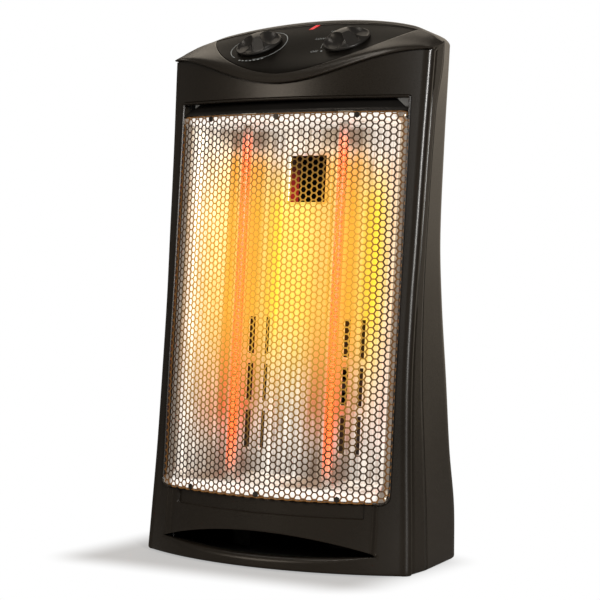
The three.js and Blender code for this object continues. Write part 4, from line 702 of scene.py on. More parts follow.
# Wall round the window: from the skin's own edge over a rounded edge and back into the body.
def windowReturn(grid, sillRow, lintelRow, side):
    edge = window["edge"]
    last = grid.shape[1] - 1 - side
    loop = np.concatenate([
        grid[sillRow, side:last], grid[sillRow:lintelRow, last],
        grid[lintelRow, last:side:-1], grid[lintelRow:sillRow:-1, side]])
    upper = loop[:, 2] > (window["low"] + window["high"]) / 2
    radius = np.where(upper, window["highCorner"], window["lowCorner"])
    low, high = window["low"] + window["lowCorner"], window["high"] - window["highCorner"]
    centreX = np.clip(loop[:, 0], radius - window["halfWidth"], window["halfWidth"] - radius)
    centreZ = np.clip(loop[:, 2], low, high)
    away = np.stack([loop[:, 0] - centreX, loop[:, 2] - centreZ], axis=-1)
    away /= np.linalg.norm(away, axis=1)[:, None]
    rings = [loop]
    end = frontDepth(loop[:, 0], loop[:, 2]) + window["depth"]
    for deep, wide in rounded(edge, 22, 45, 67, 90):
        out = radius + wide
        rings.append(joined(centreX + away[:, 0] * out, loop[:, 1] + deep, centreZ + away[:, 1] * out))
    rolled = rings[-1]
    for share in [0.5, 1]:
        ring = rolled.copy()
        ring[:, 1] += (end - ring[:, 1]) * share
        rings.append(ring)
    grid, faces = patch(np.array(rings), wrap=True)
    return grid, faces[:, ::-1]


# Wall thickness by vertex weight: full, but thin at the crown's two tight corners.
def thinCorners(piece, above=0.535, beyond=0.13, share=0.06):
    place = np.empty(len(piece.data.vertices) * 3)
    piece.data.vertices.foreach_get("co", place)
    place = place.reshape(-1, 3)
    tight = (place[:, 2] > above) & (np.abs(place[:, 0]) > beyond)
    group = piece.vertex_groups.new(name="wall")
    group.add(np.flatnonzero(~tight).tolist(), 1.0, "REPLACE")
    group.add(np.flatnonzero(tight).tolist(), share, "REPLACE")
    piece.modifiers[0].vertex_group = group.name


front = addPiece("frontShell", frontShell(), shellPlastic, wall=body["wall"])
thinCorners(front)
settle(front, "body", "shell", "front_bezel")
print("front shell made")


# The inset's sheet: the head's face from the panel's lower edge to its upper end, set back square to it.
def controlPanel():
    half = panel["halfWidth"] - panel["margin"]
    xs = np.linspace(-half, half, 121)
    shares = np.linspace(0, 1, 30)[:, None]
    low = panelEdge(xs) + panel["gap"] / panel["gapShare"]
    rise = np.maximum(partWay(low, panel["end"] - panel["endGap"], shares), low)
    depth, height = headPoint(xs + 0 * rise, rise)
    back, down = (panel["setBack"] * share for share in panel["square"])
    return [patch(joined(xs, depth + back, height - down))]


sheet = addPiece("panelSheet", controlPanel(), panelPlastic, wall=panel["sheet"])
settle(sheet, "body", "panel", "control_panel")
print("panel made")

# Rear shell: flank, rounded corner and bulged back, with louvres and a hand grip, then over the crown.
rear = {"louvreWidth": 42, "louvreHeight": 5, "louvreFade": 2, "pitch": 15, "rows": 6, "columns": 3,
        "gap": 9, "middle": 194, "lipDepth": 5.0, "lipDrop": 2, "gripHalf": 52, "gripLow": 452,
        "gripHigh": 486, "gripDepth": 18, "gripCorner": 6, "gripFade": 5, "edge": 1.2, "screwX": 118,
        "screwZ": 536, "screwHole": 3.9, "screwFade": 1.5, "rowGap": 0.8, "columnGap": 0.25,
        "capShare": 0.28, "same": 0.002, "floorRound": [(0, 3), (0.8, 1), (3, 0)]}
wellProfile = [(1.0, -0.02), (0.94, 0.5), (0.93, 5.6), (0.3, 5.7)]      # share of the radius, depth
rearHalf = body["halfWidth"] * body["waistShare"] - body["rearTaper"]
rearFlat = rearHalf - body["rearCorner"]


# How far the back stands out: a parabola across its flat part, level beyond it.
def bulge(x):
    return body["rearBulge"] * (1 - (np.minimum(np.abs(x), rearFlat) / rearFlat) ** 2)


# Points on the back at a depth behind its skin.
def inBack(x, z, deep):
    return joined(x, rearDepth(z) + bulge(x) - deep, z)


# Middles of the louvres, even columns and rows about the block's middle, and half a louvre's size.
def louvrePlaces():
    xs = (np.arange(rear["columns"]) - (rear["columns"] - 1) / 2) * (rear["louvreWidth"] + rear["gap"])
    zs = rear["middle"] + (np.arange(rear["rows"]) - (rear["rows"] - 1) / 2) * rear["pitch"]
    return xs, zs, rear["louvreWidth"] / 2, rear["louvreHeight"] / 2


# Columns and rows of the back, close together at every edge of a louvre, the grip and the screw's bore.
def backSteps():
    columnsAt, rowsAt, half, high = louvrePlaces()
    ends = [end + step for middle in columnsAt if middle >= 0
            for end in (middle - half, middle + half - high) for step in np.linspace(0, high, 4)]
    edge, corner = rear["edge"], rear["gripCorner"]
    grip = np.linspace(rear["gripHalf"] + edge - corner, rear["gripHalf"] + edge, 5)
    bore = rear["screwHole"] * np.linspace(-1, 1, 9)
    ends = [end for end in ends if end > 0]
    flatX = np.concatenate([[0], ends, grip, rear["screwX"] + bore, np.linspace(0, rearFlat, 26)])
    flatX = np.unique(np.round(flatX, 3))
    flatX = flatX[np.concatenate([[True], np.diff(flatX) > rear["columnGap"]])]
    flatX[-1] = rearFlat
    slits = [value for middle in rowsAt for value in np.linspace(middle - high, middle + high, 7)]
    gripRows = [*np.linspace(rear["gripLow"] - edge, rear["gripLow"] - edge + corner, 5),
                *np.linspace(rear["gripHigh"] + edge - corner, rear["gripHigh"] + edge, 5)]
    exact = np.round(np.concatenate([slits, gripRows, rear["screwZ"] + bore]), 3)
    plain = np.linspace(body["footGap"] + body["footRound"], body["brow"] + body["browRise"], 64)
    heights = np.unique(np.concatenate([exact, np.round(plain, 3)]))
    near = np.array([np.min(np.abs(exact - value)) for value in heights])
    return flatX, heights[(near < rear["same"]) | (near > rear["rowGap"])]


# One ring of the rear shell's right half, from the seam round the corner to the middle of the back.
def rearRing(z, seam, back, inset, flatX, heightAt):
    width = halfWidth(z) - body["groove"] - inset
    corner = body["rearCorner"]
    flatEnd = rearFlat - inset
    turn = np.radians(np.linspace(12, 90, 9))[None, :]
    arcX = flatEnd + corner * np.cos(turn)
    arcY = back - corner + corner * np.sin(turn)
    shares = np.array([0, 0.05, 0.2, 0.4, 0.6, 0.8, 0.93])[None, :]
    flankX, flankY = partWay(width, arcX[:, :1], shares), partWay(seam, arcY[:, :1], shares)
    backX = flatX[::-1][None, 1:] * flatEnd / rearFlat
    stand = body["rearBulge"] * (1 - (backX / flatEnd) ** 2)
    x = np.concatenate([flankX, arcX, backX], axis=1)
    y = np.concatenate([flankY, arcY, back + stand], axis=1)
    return joined(x, y, heightAt(x, y))


# Rings over the brow whose heights climb to the cap, which rolls down behind the seam.
def rearTop(flatX):
    brow = body["brow"] + body["browRise"]
    rings = []
    for share in np.linspace(0, 1, 7)[1:]:
        level = np.array([[partWay(brow, crownZ(headHalfWidth), share)]])
        seam = seamEdge(level, 1)
        start = float(seam[0, 0])

        def climb(x, y):
            rolled = capZ(x, y) - body["rearRoll"] * smoothStep(y, start, start + body["rollReach"])
            return partWay(brow, rolled, share)
        rings.append(rearRing(level, seam, rearDepth(level), np.zeros((1, 1)), flatX, climb)[0])
    return np.array(rings)


# The cap: from the last ring to the seam behind the crown, rising along a quarter circle.
def rearCap(ring):
    return capRings(ring, (1 - shareAlong(ring)) * (headHalfWidth - body["groove"]), 1,
                    [0.01, 0.03, 0.06, 0.1, 0.15, 0.21, 0.28, 0.4, 0.6, 0.8, 1],
                    lambda share: math.sqrt(1 - (1 - min(share / rear["capShare"], 1)) ** 2))


# Rounds the corners of every opening in the back and gives each one's edges: left, right, low, high.
def backOpenings(x, z):
    columnsAt, rowsAt, half, high = louvrePlaces()
    allSigns = [(1, 1), (1, -1), (-1, 1), (-1, -1)]
    holes = []
    for middleX in columnsAt[columnsAt >= 0]:
        for middleZ in rowsAt:
            holes.append((middleX - half, middleX + half, middleZ - high, middleZ + high))
            for signs in allSigns:
                centre = (middleX + signs[0] * (half - high), middleZ)
                x, z = roundCorner(x, z, centre, signs, high, rear["louvreFade"])
    side, corner, fade = rear["gripHalf"] + rear["edge"], rear["gripCorner"], rear["gripFade"]
    low, top = rear["gripLow"] - rear["edge"], rear["gripHigh"] + rear["edge"]
    holes.append((-side, side, low, top))
    x, z = roundCorner(x, z, (side - corner, low + corner), (1, -1), corner, fade)
    x, z = roundCorner(x, z, (side - corner, top - corner), (1, 1), corner, fade)
    screwX, screwZ, bore = rear["screwX"], rear["screwZ"], rear["screwHole"]
    holes.append((screwX - bore, screwX + bore, screwZ - bore, screwZ + bore))
    for signs in allSigns:
        x, z = roundCorner(x, z, (screwX, screwZ), signs, bore, rear["screwFade"])
    return x, z, holes


# The right half from the foot over the crown, then its mirror image, the pocket, lips and wells.
def rearShell():
    flatX, heights = backSteps()
    foot, footRound = body["footGap"], body["footRound"]
    rows = [(foot + rise, inset) for rise, inset in rounded(footRound, 0, 30, 60)]
    rows += [(value, 0) for value in heights]
    z, inset = (np.array(rows)[:, [at]] for at in (0, 1))
    grid = rearRing(z, seamEdge(z, 1), rearDepth(z) - inset, inset, flatX, lambda x, y: z)
    grid = np.concatenate([grid, rearTop(flatX)])
    grid = np.concatenate([grid, rearCap(grid[-1])])
    plainX, plainZ = grid[..., 0], grid[..., 2]
    x, z, holes = backOpenings(plainX.copy(), plainZ.copy())
    onBack = np.zeros(grid.shape[:2], bool)
    onBack[:len(rows), grid.shape[1] - len(flatX):] = True
    insets = np.concatenate([inset[:, 0], np.zeros(len(grid) - len(rows))])[:, None]
    right = np.where(onBack[..., None], inBack(x, z, insets), grid)
    middleX = (plainX[:-1, 1:] + plainX[:-1, :-1]) / 2
    middleZ = (plainZ[1:, :-1] + plainZ[:-1, :-1]) / 2
    keep = np.ones(middleX.shape, bool)
    for low, high, bottom, top in holes:
        within = (middleX > low) & (middleX < high) & (middleZ > bottom) & (middleZ < top)
        keep &= ~(within & onBack[:-1, :-1])
    left = right[:, ::-1] * np.array([-1, 1, 1])
    return [patch(right, keep=keep), patch(left, keep=keep[:, ::-1]), gripPocket(), *louvreLips(),
            *[screwWell(side) for side in (-1, 1)]]


# A lip behind each louvre, slanting down and inwards from its upper edge, so nothing shows through it.
def louvreLips():
    lips = []
    columnsAt, rowsAt, half, high = louvrePlaces()
    for middleX in columnsAt:
        for middleZ in rowsAt:
            x = np.linspace(middleX + half, middleX - half, 6)[None, :]
            z = np.array([[middleZ - high - rear["lipDrop"]], [middleZ + high]])
            lips.append(patch(inBack(x, z, body["wall"] + np.array([[rear["lipDepth"]], [0]]))))
    return lips


# A rounded hollow that a hand takes hold of: a rounded loop carried inwards, then its flat floor.
def gripPocket():
    edge, corner, depth = rear["edge"], rear["gripCorner"], rear["gripDepth"]
    half = rear["gripHalf"] + edge - corner
    low, high = rear["gripLow"] - edge + corner, rear["gripHigh"] + edge - corner
    turns = np.radians(np.linspace(0, 90, 5))
    corners = [(1, 1, high, 1), (-1, 1, high, -1), (-1, -1, low, 1), (1, -1, low, -1)]
    loop = np.array([(sx * half, middleZ, sx * math.cos(turn), sz * math.sin(turn))
                     for sx, sz, middleZ, order in corners for turn in turns[::order]])
    rolled = [(corner - edge + wide, deep) for deep, wide in rounded(edge, 25, 50, 75, 90)]
    ended = [(corner - edge - into, depth - above) for into, above in rear["floorRound"]]
    rings = []
    for radius, deep in [(corner, 0), *rolled, *ended]:
        rings.append(inBack(loop[:, 0] + loop[:, 2] * radius, loop[:, 1] + loop[:, 3] * radius, deep))
    grid, faces = patch(np.array(rings), wrap=True)
    size = len(loop)
    floor = list(range((len(rings) - 1) * size, len(rings) * size))
    return grid, [*faces.tolist(), floor]


# A round well over each upper housing screw: circles carried inwards.
def screwWell(side):
    share, deep = np.array(wellProfile).T[:, :, None]
    radius = rear["screwHole"] * share
    x = side * rear["screwX"] + radius * np.cos(circle(32))
    return patch(inBack(x, rear["screwZ"] + radius * np.sin(circle(32)), deep), wrap=True)


back = addPiece("rearShell", rearShell(), shellPlastic, wall=body["wall"])
thinCorners(back)
settle(back, "body", "shell", "rear_housing")
print("rear shell made")

# Guard: a honeycomb sheet, bowed with the front, its edges folded back round the window.
guard = {"halfWidth": 145, "low": 75, "high": 484, "corner": 9, "pitch": 7.2, "web": 1.35, "sheet": 0.9,
         "setBack": 0.4, "return": 8, "reach": 0.4}


# The nearest place on the guard's face that its rounded rim leaves flat.
def guardCore(x, z):
    reach, corner = guard["halfWidth"] - guard["corner"], guard["corner"]
    return np.clip(x, -reach, reach), np.clip(z, guard["low"] + corner, guard["high"] - corner)


# Places of a flat sheet's points once it is bent: what lies past the rounded rim turns straight back.
def foldedPlace(x, z, layer):
    corner = guard["corner"]
    coreX, coreZ = guardCore(x, z)
    away = np.stack([x - coreX, z - coreZ])
    distance = np.linalg.norm(away, axis=0)
    over = np.maximum(distance - corner, 0)
    unit = away / np.maximum(distance, 1e-9)
    inward = np.where(over > 0, layer * guard["sheet"], 0)
    out = np.minimum(distance, corner) - inward
    newX, newZ = coreX + unit[0] * out, coreZ + unit[1] * out
    depth = np.where(over > 0, np.minimum(over, guard["return"]), layer * guard["sheet"])
    return joined(newX, frontDepth(newX, newZ) + guard["setBack"] + depth, newZ)


# Hexagons on a staggered lattice: each cell's rim runs from its outer to its inner edge and back behind.
def guardNet():
    pitch, column = guard["pitch"], guard["pitch"] * math.sqrt(3) / 2
    columns = int(guard["halfWidth"] / column) + 3
    rows = int((guard["high"] - guard["low"]) / 2 / pitch) + 3
    place, row = np.meshgrid(np.arange(-columns, columns + 1), np.arange(-rows, rows + 1), indexing="ij")
    centreX = (place * column).ravel()
    centreZ = ((guard["low"] + guard["high"]) / 2 + (row + (place % 2) / 2) * pitch).ravel()
    coreX, coreZ = guardCore(centreX, centreZ)
    rim = guard["corner"] + guard["return"] - pitch * guard["reach"]
    inReach = np.hypot(centreX - coreX, centreZ - coreZ) < rim
    centreX, centreZ = centreX[inReach][:, None], centreZ[inReach][:, None]
    turn = np.radians(np.arange(0, 360, 60))[None, :]
    reach, inner = pitch / math.sqrt(3), (pitch - guard["web"]) / math.sqrt(3)
    rings = []
    for radius, layer in [(reach, 0), (inner, 0), (inner, 1), (reach, 1)]:
        rings.append(foldedPlace(centreX + radius * np.cos(turn), centreZ + radius * np.sin(turn), layer))
    points = np.stack(rings, axis=1)                   # cell, ring, corner
    quads = gridFaces(len(rings), turn.size, wrap=True)
    starts = len(rings) * turn.size * np.arange(len(points))
    print("guard cells", len(points))
    return [(points, (quads[None] + starts[:, None, None]).reshape(-1, 4))]


net = addPiece("guardNet", guardNet(), guardCoatingPaintedGlow(), weld=0.05, sharpTurn=30)
settle(net, "body", "guard_wire", "mesh_guard")
print("guard made")

# Heating cartridge: it leans with the front, so its pieces are made upright and leaned together.
lean = math.atan2(float(cornerDepth(np.array(guard["high"])) - cornerDepth(np.array(guard["low"]))),
                  guard["high"] - guard["low"])
leanStart = float(cornerDepth(np.array(guard["low"]))) - guard["low"] * math.tan(lean)
tubes = {"x": 62, "radius": 5.5, "glass": 1.2, "low": 64, "high": 494, "coilRadius": 3.1, "wire": 0.5,
         "coilLow": 92, "coilHigh": 466, "curls": 74, "curlSteps": 10, "wireSides": 5}
tray = {"half": 134, "flange": 142.4, "edge": 128.5, "edgeDepth": 2.2, "rimDepth": -4.4, "sheet": 0.6,
        "troughRadius": 38, "troughCentre": 8, "ridge": 31, "lowFold": 94, "highFold": 473, "lowRim": 77,
        "highRim": 482.3, "lip": 5, "lipGap": 2.4, "fold": 0.8, "ventHalf": 23, "ventLow": 392,
        "ventHigh": 443, "slotOffset": 10, "slotWidth": 6, "slotLow": 121, "slotHeight": 41,
        "slotPitch": 52, "slots": 3, "ridgeStep": 3, "wallStep": 4, "flangeStep": 136, "rows": (100, 470, 6),
        "endShares": (0.06, 0.35, 0.65, 0.94)}


# A point of the upright cartridge turned back by the lean: sines and cosines of its depth and height.
def leaned(x, depth, along):
    y = leanStart + depth * math.cos(lean) + along * math.sin(lean)
    return joined(x, y, along * math.cos(lean) - depth * math.sin(lean))


# How far along the lean a height is reached: the height over the lean's cosine.
def uprightHeight(z):
    return z / math.cos(lean)


# Depth of the tray across its width: two round troughs, a flat ridge between and raised rims.
def trayDepth(x):
    side, half = np.abs(x), tubes["x"] - tray["ridge"]
    centre, radius, outer = tray["troughCentre"], tray["troughRadius"], tubes["x"] + half
    trough = centre + np.sqrt(np.maximum(radius ** 2 - (side - tubes["x"]) ** 2, 0))
    ridgeDepth = centre + math.sqrt(radius ** 2 - half ** 2)
    slope = np.interp(side, [outer, tray["edge"], tray["half"], tray["flange"]],
                      [ridgeDepth, tray["edgeDepth"], tray["rimDepth"], tray["rimDepth"]])
    return np.where(side < tray["ridge"], ridgeDepth, np.where(side < outer, trough, slope))


# The tray's rim at a height: it follows the bowed front just behind the guard.
def trayRim(x, height):
    return joined(x, frontDepth(guardCore(x, height)[0], height) + tray["lipGap"], height)


# Troughs carried up the lean, drawn forward to a rim at both ends; slots and vent window left open.
def reflectorTray():
    fold, ridge, outer = tray["fold"], tray["ridge"], 2 * tubes["x"] - tray["ridge"]
    slotEdges = [tubes["x"] + sign * tray["slotOffset"] + edge for sign in (-1, 1)
                 for edge in (-tray["slotWidth"] / 2, tray["slotWidth"] / 2)]
    half = np.unique(np.concatenate([
        np.linspace(0, tray["ventHalf"], 6), [ridge - fold, ridge, ridge + fold],
        np.linspace(ridge + tray["ridgeStep"], outer - fold, 26), slotEdges, [outer, outer + fold],
        np.linspace(outer + tray["wallStep"], tray["edge"], 8),
        [tray["edge"] + fold, tray["half"], tray["half"] + fold, tray["flangeStep"], tray["flange"]]]))
    x = np.concatenate([-half[:0:-1], half])
    depth = trayDepth(x)
    slotLows = [tray["slotLow"] + at * tray["slotPitch"] for at in range(tray["slots"])]
    slotRows = [low + edge for low in slotLows for edge in (0, tray["slotHeight"])]
    heights = np.unique(np.concatenate([
        [tray["lowFold"], tray["lowFold"] + 1, tray["highFold"] - 1, tray["highFold"]],
        slotRows, [tray["ventLow"], tray["ventHigh"]], np.arange(*tray["rows"])]))
    middle = [leaned(x, depth, uprightHeight(np.array(height))) for height in heights]
    foot = [trayRim(x, tray["lowRim"]), trayRim(x, tray["lowRim"] + tray["lip"])]
    foot += [partWay(foot[1], middle[0], share) for share in tray["endShares"]]
    top = [trayRim(x, tray["highRim"] - tray["lip"]), trayRim(x, tray["highRim"])]
    top = [partWay(middle[-1], top[0], share) for share in tray["endShares"]] + top
    middleX = np.abs(x[1:] + x[:-1])[None, :] / 2
    plainZ = np.concatenate([[-1] * len(foot), heights, [999] * len(top)])
    middleZ = (plainZ[1:] + plainZ[:-1])[:, None] / 2
    keep = ~((middleX < tray["ventHalf"]) & (middleZ > tray["ventLow"]) & (middleZ < tray["ventHigh"]))
    for low in slotLows:
        inRow = (middleZ > low) & (middleZ < low + tray["slotHeight"])
        for sign in (-1, 1):
            beside = np.abs(middleX - tubes["x"] - sign * tray["slotOffset"]) < tray["slotWidth"] / 2
            keep &= ~(inRow & beside)
    return [patch(np.array([*foot, *middle, *top]), keep=keep)]


trayPiece = addPiece("reflectorTray", reflectorTray(), reflectorPaintedLight(), sharpTurn=24, wall=tray["sheet"])
settle(trayPiece, "body", "reflector_sheet", "reflector")


# A tube or rod along the cartridge's height: a ring of points carried up, from [radius, height] pairs.
def turnedUp(profile, x, sides=32):
    turn = circle(sides)
    radius, height = np.array(profile).T[:, :, None]
    return patch(leaned(x + radius * np.cos(turn), radius * np.sin(turn), uprightHeight(height)), wrap=True)


# A helix: the wire's own small circle turned round the coil's axis while it climbs.
def coilWire(x):
    at = np.linspace(0, 1, tubes["curls"] * tubes["curlSteps"] + 1)[:, None]
    turn = 2 * math.pi * tubes["curls"] * at
    turnSide = circle(tubes["wireSides"])
    radius = tubes["coilRadius"] + tubes["wire"] * np.cos(turnSide)
    height = partWay(tubes["coilLow"], tubes["coilHigh"], at) + tubes["wire"] * np.sin(turnSide)
    return patch(leaned(x + radius * np.cos(turn), radius * np.sin(turn), uprightHeight(height)), wrap=True)


glass = glowing("quartzGlass", (0.75, 0.72, 0.68), (1.0, 0.13, 0.025), 1.25, (0.085, 0.15), (0.43, 0.475),
                alpha=0.5)
wireFinish = glowing("coilWire", (0.35, 0.28, 0.22), (1.0, 0.33, 0.08), 3.0, (0.09, 0.11), (0.45, 0.47))
for side, x in [("left", -tubes["x"]), ("right", tubes["x"])]:
    outside, bore = tubes["radius"], tubes["radius"] - tubes["glass"]
    low, high = tubes["low"], tubes["high"]
    profile = [[bore, low], [outside, low], *[[outside, height] for height in np.linspace(low, high, 12)],
               [outside, high], [bore, high], [bore, low]]
    tube = addPiece(f"quartzTube{side.title()}", [turnedUp(profile, x)], glass)
    settle(tube, "body", "quartz", f"quartz_tube_{side}")
    coil = addPiece(f"heatingCoil{side.title()}", [coilWire(x)], wireFinish)
    settle(coil, "body", "coil_wire", f"heating_coil_{side}")
print("cartridge made")

# Deflector in the slot over the guard. Its section is height shares with the depth shares they reach.
deflector = {"low": 484.7, "high": 499.2, "half": 145.4, "taper": 21, "start": 1.5, "rise": 13,
             "sheet": 1.1}
deflectorTable = np.array([[0, 0.03], [0.02, 0], [0.1, 0.02], [0.2, 0.08], [0.3, 0.18], [0.6, 0.56],
                           [0.97, 0.98], [1, 1.04]])


# The section carried along the bowed front, narrower towards its top.
def deflectorStrip():
    rise, backShare = deflectorTable[:, :1], deflectorTable[:, 1:]
    z = partWay(deflector["low"], deflector["high"], rise)
    half = deflector["half"] - deflector["taper"] * rise
    x = np.linspace(-1, 1, 81)[None, :] * half
    y = frontDepth(x, z) + guard["setBack"] + deflector["start"] + deflector["rise"] * backShare
    return [patch(joined(x, y, z))]


strip = addPiece("deflectorStrip", deflectorStrip(), slotSteel, wall=deflector["sheet"])
settle(strip, "body", "guard_wire", "hot_air_deflector")

# Controls, each in a frame square to the head's face. Turns are degrees, of the left and right knob.
dial = {"spacing": 113, "share": 0.53, "nextShare": 0.1, "radius": 26, "height": 11, "lift": 0.6,
        "bar": 10.5, "barMargin": 1.5, "turns": (30, 50), "scoop": 13, "scoopLong": 1.7, "scoopPlace": 0.93,
        "scoopDrop": 3, "scoopLift": 2.2, "scoopFloor": 1.2, "soft": 0.3, "skirt": 1.6,
        "scoopReach": 4, "shoulder": (0.4, 0.75, 1.1), "domePowers": (2.6, 0.75), "faceStart": 0.8,
        "faceReach": 3, "rimShare": 0.05, "rimSteps": (0.15, 0.5, 1), "innerShare": 0.93}
# Depth and height shares of the solid's head, which the knobs' axes follow.
axisTable = np.array([[0, 0], [0.05, 0.15], [0.14, 0.26], [0.55, 0.63], [1, 1]])


# A place on the head's face by its depth share, with the slope there from a second place behind it.
def headFrame(x, share):
    def place(at):
        rise = np.interp(at, axisTable[:, 0], axisTable[:, 1])
        low = float(frontDepth(x, browZ(x))) - body["overhang"]
        return partWay(low, float(crownY(x)), at), float(partWay(browZ(x), crownZ(x), rise))
    y, z = place(share)
    nextY, nextZ = place(share + dial["nextShare"])
    return np.array([x, y, z]), math.atan2(nextZ - z, nextY - y)


# Points given as right, up the slope and out of the face.
def onHead(frameAt, right, up, out):
    origin, tilt = frameAt
    y = up * math.cos(tilt) - out * math.sin(tilt)
    z = up * math.sin(tilt) + out * math.cos(tilt)
    return joined(right + origin[0], y + origin[1], z + origin[2])


# A domed knob with a scoop on each side of its grip bar: the soft minimum of a dome, whose height falls
# with a power of the radius, and of two ball-shaped bowls. The bar's face slopes to the lower rim.
def knobSurface(frameAt, turned):
    skirt, high, bar = dial["skirt"], dial["height"], dial["bar"] / 2
    shares = np.concatenate([[1, 1, 1], 1 - dial["rimShare"] * np.array(dial["rimSteps"]),
                             np.linspace(dial["innerShare"], 0, 52)])
    turn = circle(168)
    radius = (shares * dial["radius"])[:, None]
    inner, outer = dial["domePowers"]
    shoulder = [skirt + rise for rise in dial["shoulder"]]
    dome = skirt + (high - skirt) * np.clip(1 - shares ** inner, 0, 1) ** outer
    dome[:6] = [0, 0.5 * skirt, skirt, *shoulder]
    dome[6:] = np.maximum(dome[6:], shoulder[-1])
    u, v = radius * np.cos(turn), radius * np.sin(turn)
    dome = dome[:, None] + 0 * u
    bowlX = bar + dial["scoop"] * dial["scoopPlace"]
    bowlV = (v + dial["scoopDrop"]) / dial["scoopLong"]
    inBowl = dial["scoop"] ** 2 - (np.abs(u) - bowlX) ** 2 - bowlV ** 2
    bowl = high + dial["scoopLift"] - np.sqrt(np.maximum(inBowl, 0))
    soft = dial["soft"]
    blend = -soft * np.logaddexp(-dome / soft, -bowl / soft)
    scooped = (inBowl > 0) & (bowl < dome + dial["scoopReach"])
    height = np.where(scooped, np.maximum(blend, dial["scoopFloor"]), dome)
    height = np.minimum(height, dome)
    start = skirt + dial["faceStart"]
    slope = start + (v + dial["radius"]) * (high - start) / (dial["radius"] - dial["faceReach"])
    inBar = np.abs(u) < bar + dial["barMargin"]
    height = np.where(inBar, np.minimum(height, np.maximum(slope, skirt)), height)
    spin = math.radians(turned)
    right, up = u * math.cos(spin) - v * math.sin(spin), u * math.sin(spin) + v * math.cos(spin)
    return [patch(onHead(frameAt, right, up, height + dial["lift"]), wrap=True)]


leftDial, rightDial = (headFrame(sign * dial["spacing"] / 2, dial["share"]) for sign in (-1, 1))
for name, node, rides, place, turned in [
        ("thermostatKnob", "thermostat_knob", "thermostat_dial", leftDial, dial["turns"][0]),
        ("switchKnob", "switch_knob", "selector_dial", rightDial, dial["turns"][1])]:
    knob = addPiece(name, knobSurface(place, turned), knobPlastic, sharpTurn=50)
    settle(knob, rides, "knob", node)

# Marks printed on the panel: strokes are [turn in degrees from up the slope, half width] stops round a
# dial, dots are turn and radius, words stand right-aligned at right and up from the right dial.
printed = {
    "lift": 0.12, "ring": 32.5, "ticks": 34.7, "tickTurn": 174, "tickPitch": 7.5, "tickLong": 4.5,
    "tickWidth": 0.9, "arc": 29.5, "dot": 1.25, "letters": 5.2,
    "ringStops": [[150, 0.5], [90, 0.7], [20, 1.1], [-40, 1.9], [-90, 2.3], [-135, 1.5], [-165, 0.4]],
    "arcStops": [[37, 0.35], [68, 0.45], [112, 0.45]],
    "dots": [(128, 29.5), (70, 30.2), (37, 30.5)],
    "words": [("OFF", -28, -19.5), ("LOW", -33, 8.5), ("HIGH", -21, 25)],
}


# Points laid on the panel: each finds the face's height by its place up the slope of the head.
def onPanel(frameAt, right, up):
    x = onHead(frameAt, right, up, 0 * right)[..., 0]
    rises = np.linspace(0, 1, 400)
    depths, heights = headPoint(x[..., None] + 0 * rises, rises)
    origin, tilt = frameAt
    climbs = (depths - origin[1]) * math.cos(tilt) + (heights - origin[2]) * math.sin(tilt)
    nearest = np.abs(climbs - up[..., None]).argmin(-1)[..., None]
    y, z = (np.take_along_axis(values, nearest, -1)[..., 0] for values in (depths, heights))
    out = printed["lift"] - panel["setBack"]
    return joined(x, y - out * math.sin(tilt), z + out * math.cos(tilt))


# A stroke along an arc round the dial, as wide at each turn as its stops say.
def arcMark(frameAt, radius, stops, steps=64):
    turns = np.linspace(stops[0][0], stops[-1][0], steps)
    half = np.interp(turns, [stop[0] for stop in stops], [stop[1] for stop in stops])
    away = np.radians(turns)
    rims = np.stack([radius - half, radius + half])
    grid = onPanel(frameAt, -rims * np.sin(away), rims * np.cos(away))
    return patch(grid[::-1] if stops[-1][0] > stops[0][0] else grid)


# A round dot beside the right dial: a circle drawn in to its middle.
def dotMark(turn, radius):
    spot = np.linspace(0, 2 * math.pi, 17)[None, :]
    size = np.array([[printed["dot"]], [0.01]])
    right = -radius * math.sin(math.radians(turn)) + size * np.cos(spot)
    return patch(onPanel(rightDial, right, radius * math.cos(math.radians(turn)) + size * np.sin(spot)))


# The ring and ticks round the left dial, the arc and dots round the right one.
def printedMarks():
    marks = [arcMark(leftDial, printed["ring"], printed["ringStops"])]
    for at in range(-1, 6):
        start, wide = printed["tickTurn"] + at * printed["tickPitch"], printed["tickWidth"]
        stops = [[start, wide], [start + printed["tickLong"], wide]]
        marks.append(arcMark(leftDial, printed["ticks"], stops, 5))
    marks.append(arcMark(rightDial, printed["arc"], printed["arcStops"]))
    return marks + [dotMark(turn, radius) for turn, radius in printed["dots"]]


# Words beside the switch: flat letters laid on the panel.
def printedWord(word, right, up):
    curve = bpy.data.curves.new("letters", "FONT")
    curve.body, curve.size, curve.align_x = word, printed["letters"], "RIGHT"
    holder = linked("letters", curve)
    bpy.context.view_layer.update()
    flat = bpy.data.meshes.new_from_object(holder.evaluated_get(bpy.context.evaluated_depsgraph_get()))
    bpy.data.objects.remove(holder)
    at = np.empty(len(flat.vertices) * 3)
    flat.vertices.foreach_get("co", at)
    at = at.reshape(-1, 3)
    points = onPanel(rightDial, right + at[:, 0], up + at[:, 1])
    return points, [list(face.vertices) for face in flat.polygons]


settle(addPiece("printedMarks", printedMarks(), printInk()), "body", "panel")
words = [printedWord(*word) for word in printed["words"]]
settle(addPiece("printedWords", words, printInk(), weld=0.001), "body", "panel")
print("controls made")


# Red plastic lit from behind.
def lensRed():
    finish = Finish("lensRed")
    ripple = finish.noise(400, 2)
    return finish.set(BaseColor=finish.mix(ripple, (0.55, 0.0, 0.01), (0.75, 0.01, 0.02)),
                      Roughness=ripple * 0.1 + 0.12, EmissionColor=(0.8, 0.01, 0.02), EmissionStrength=0.5)


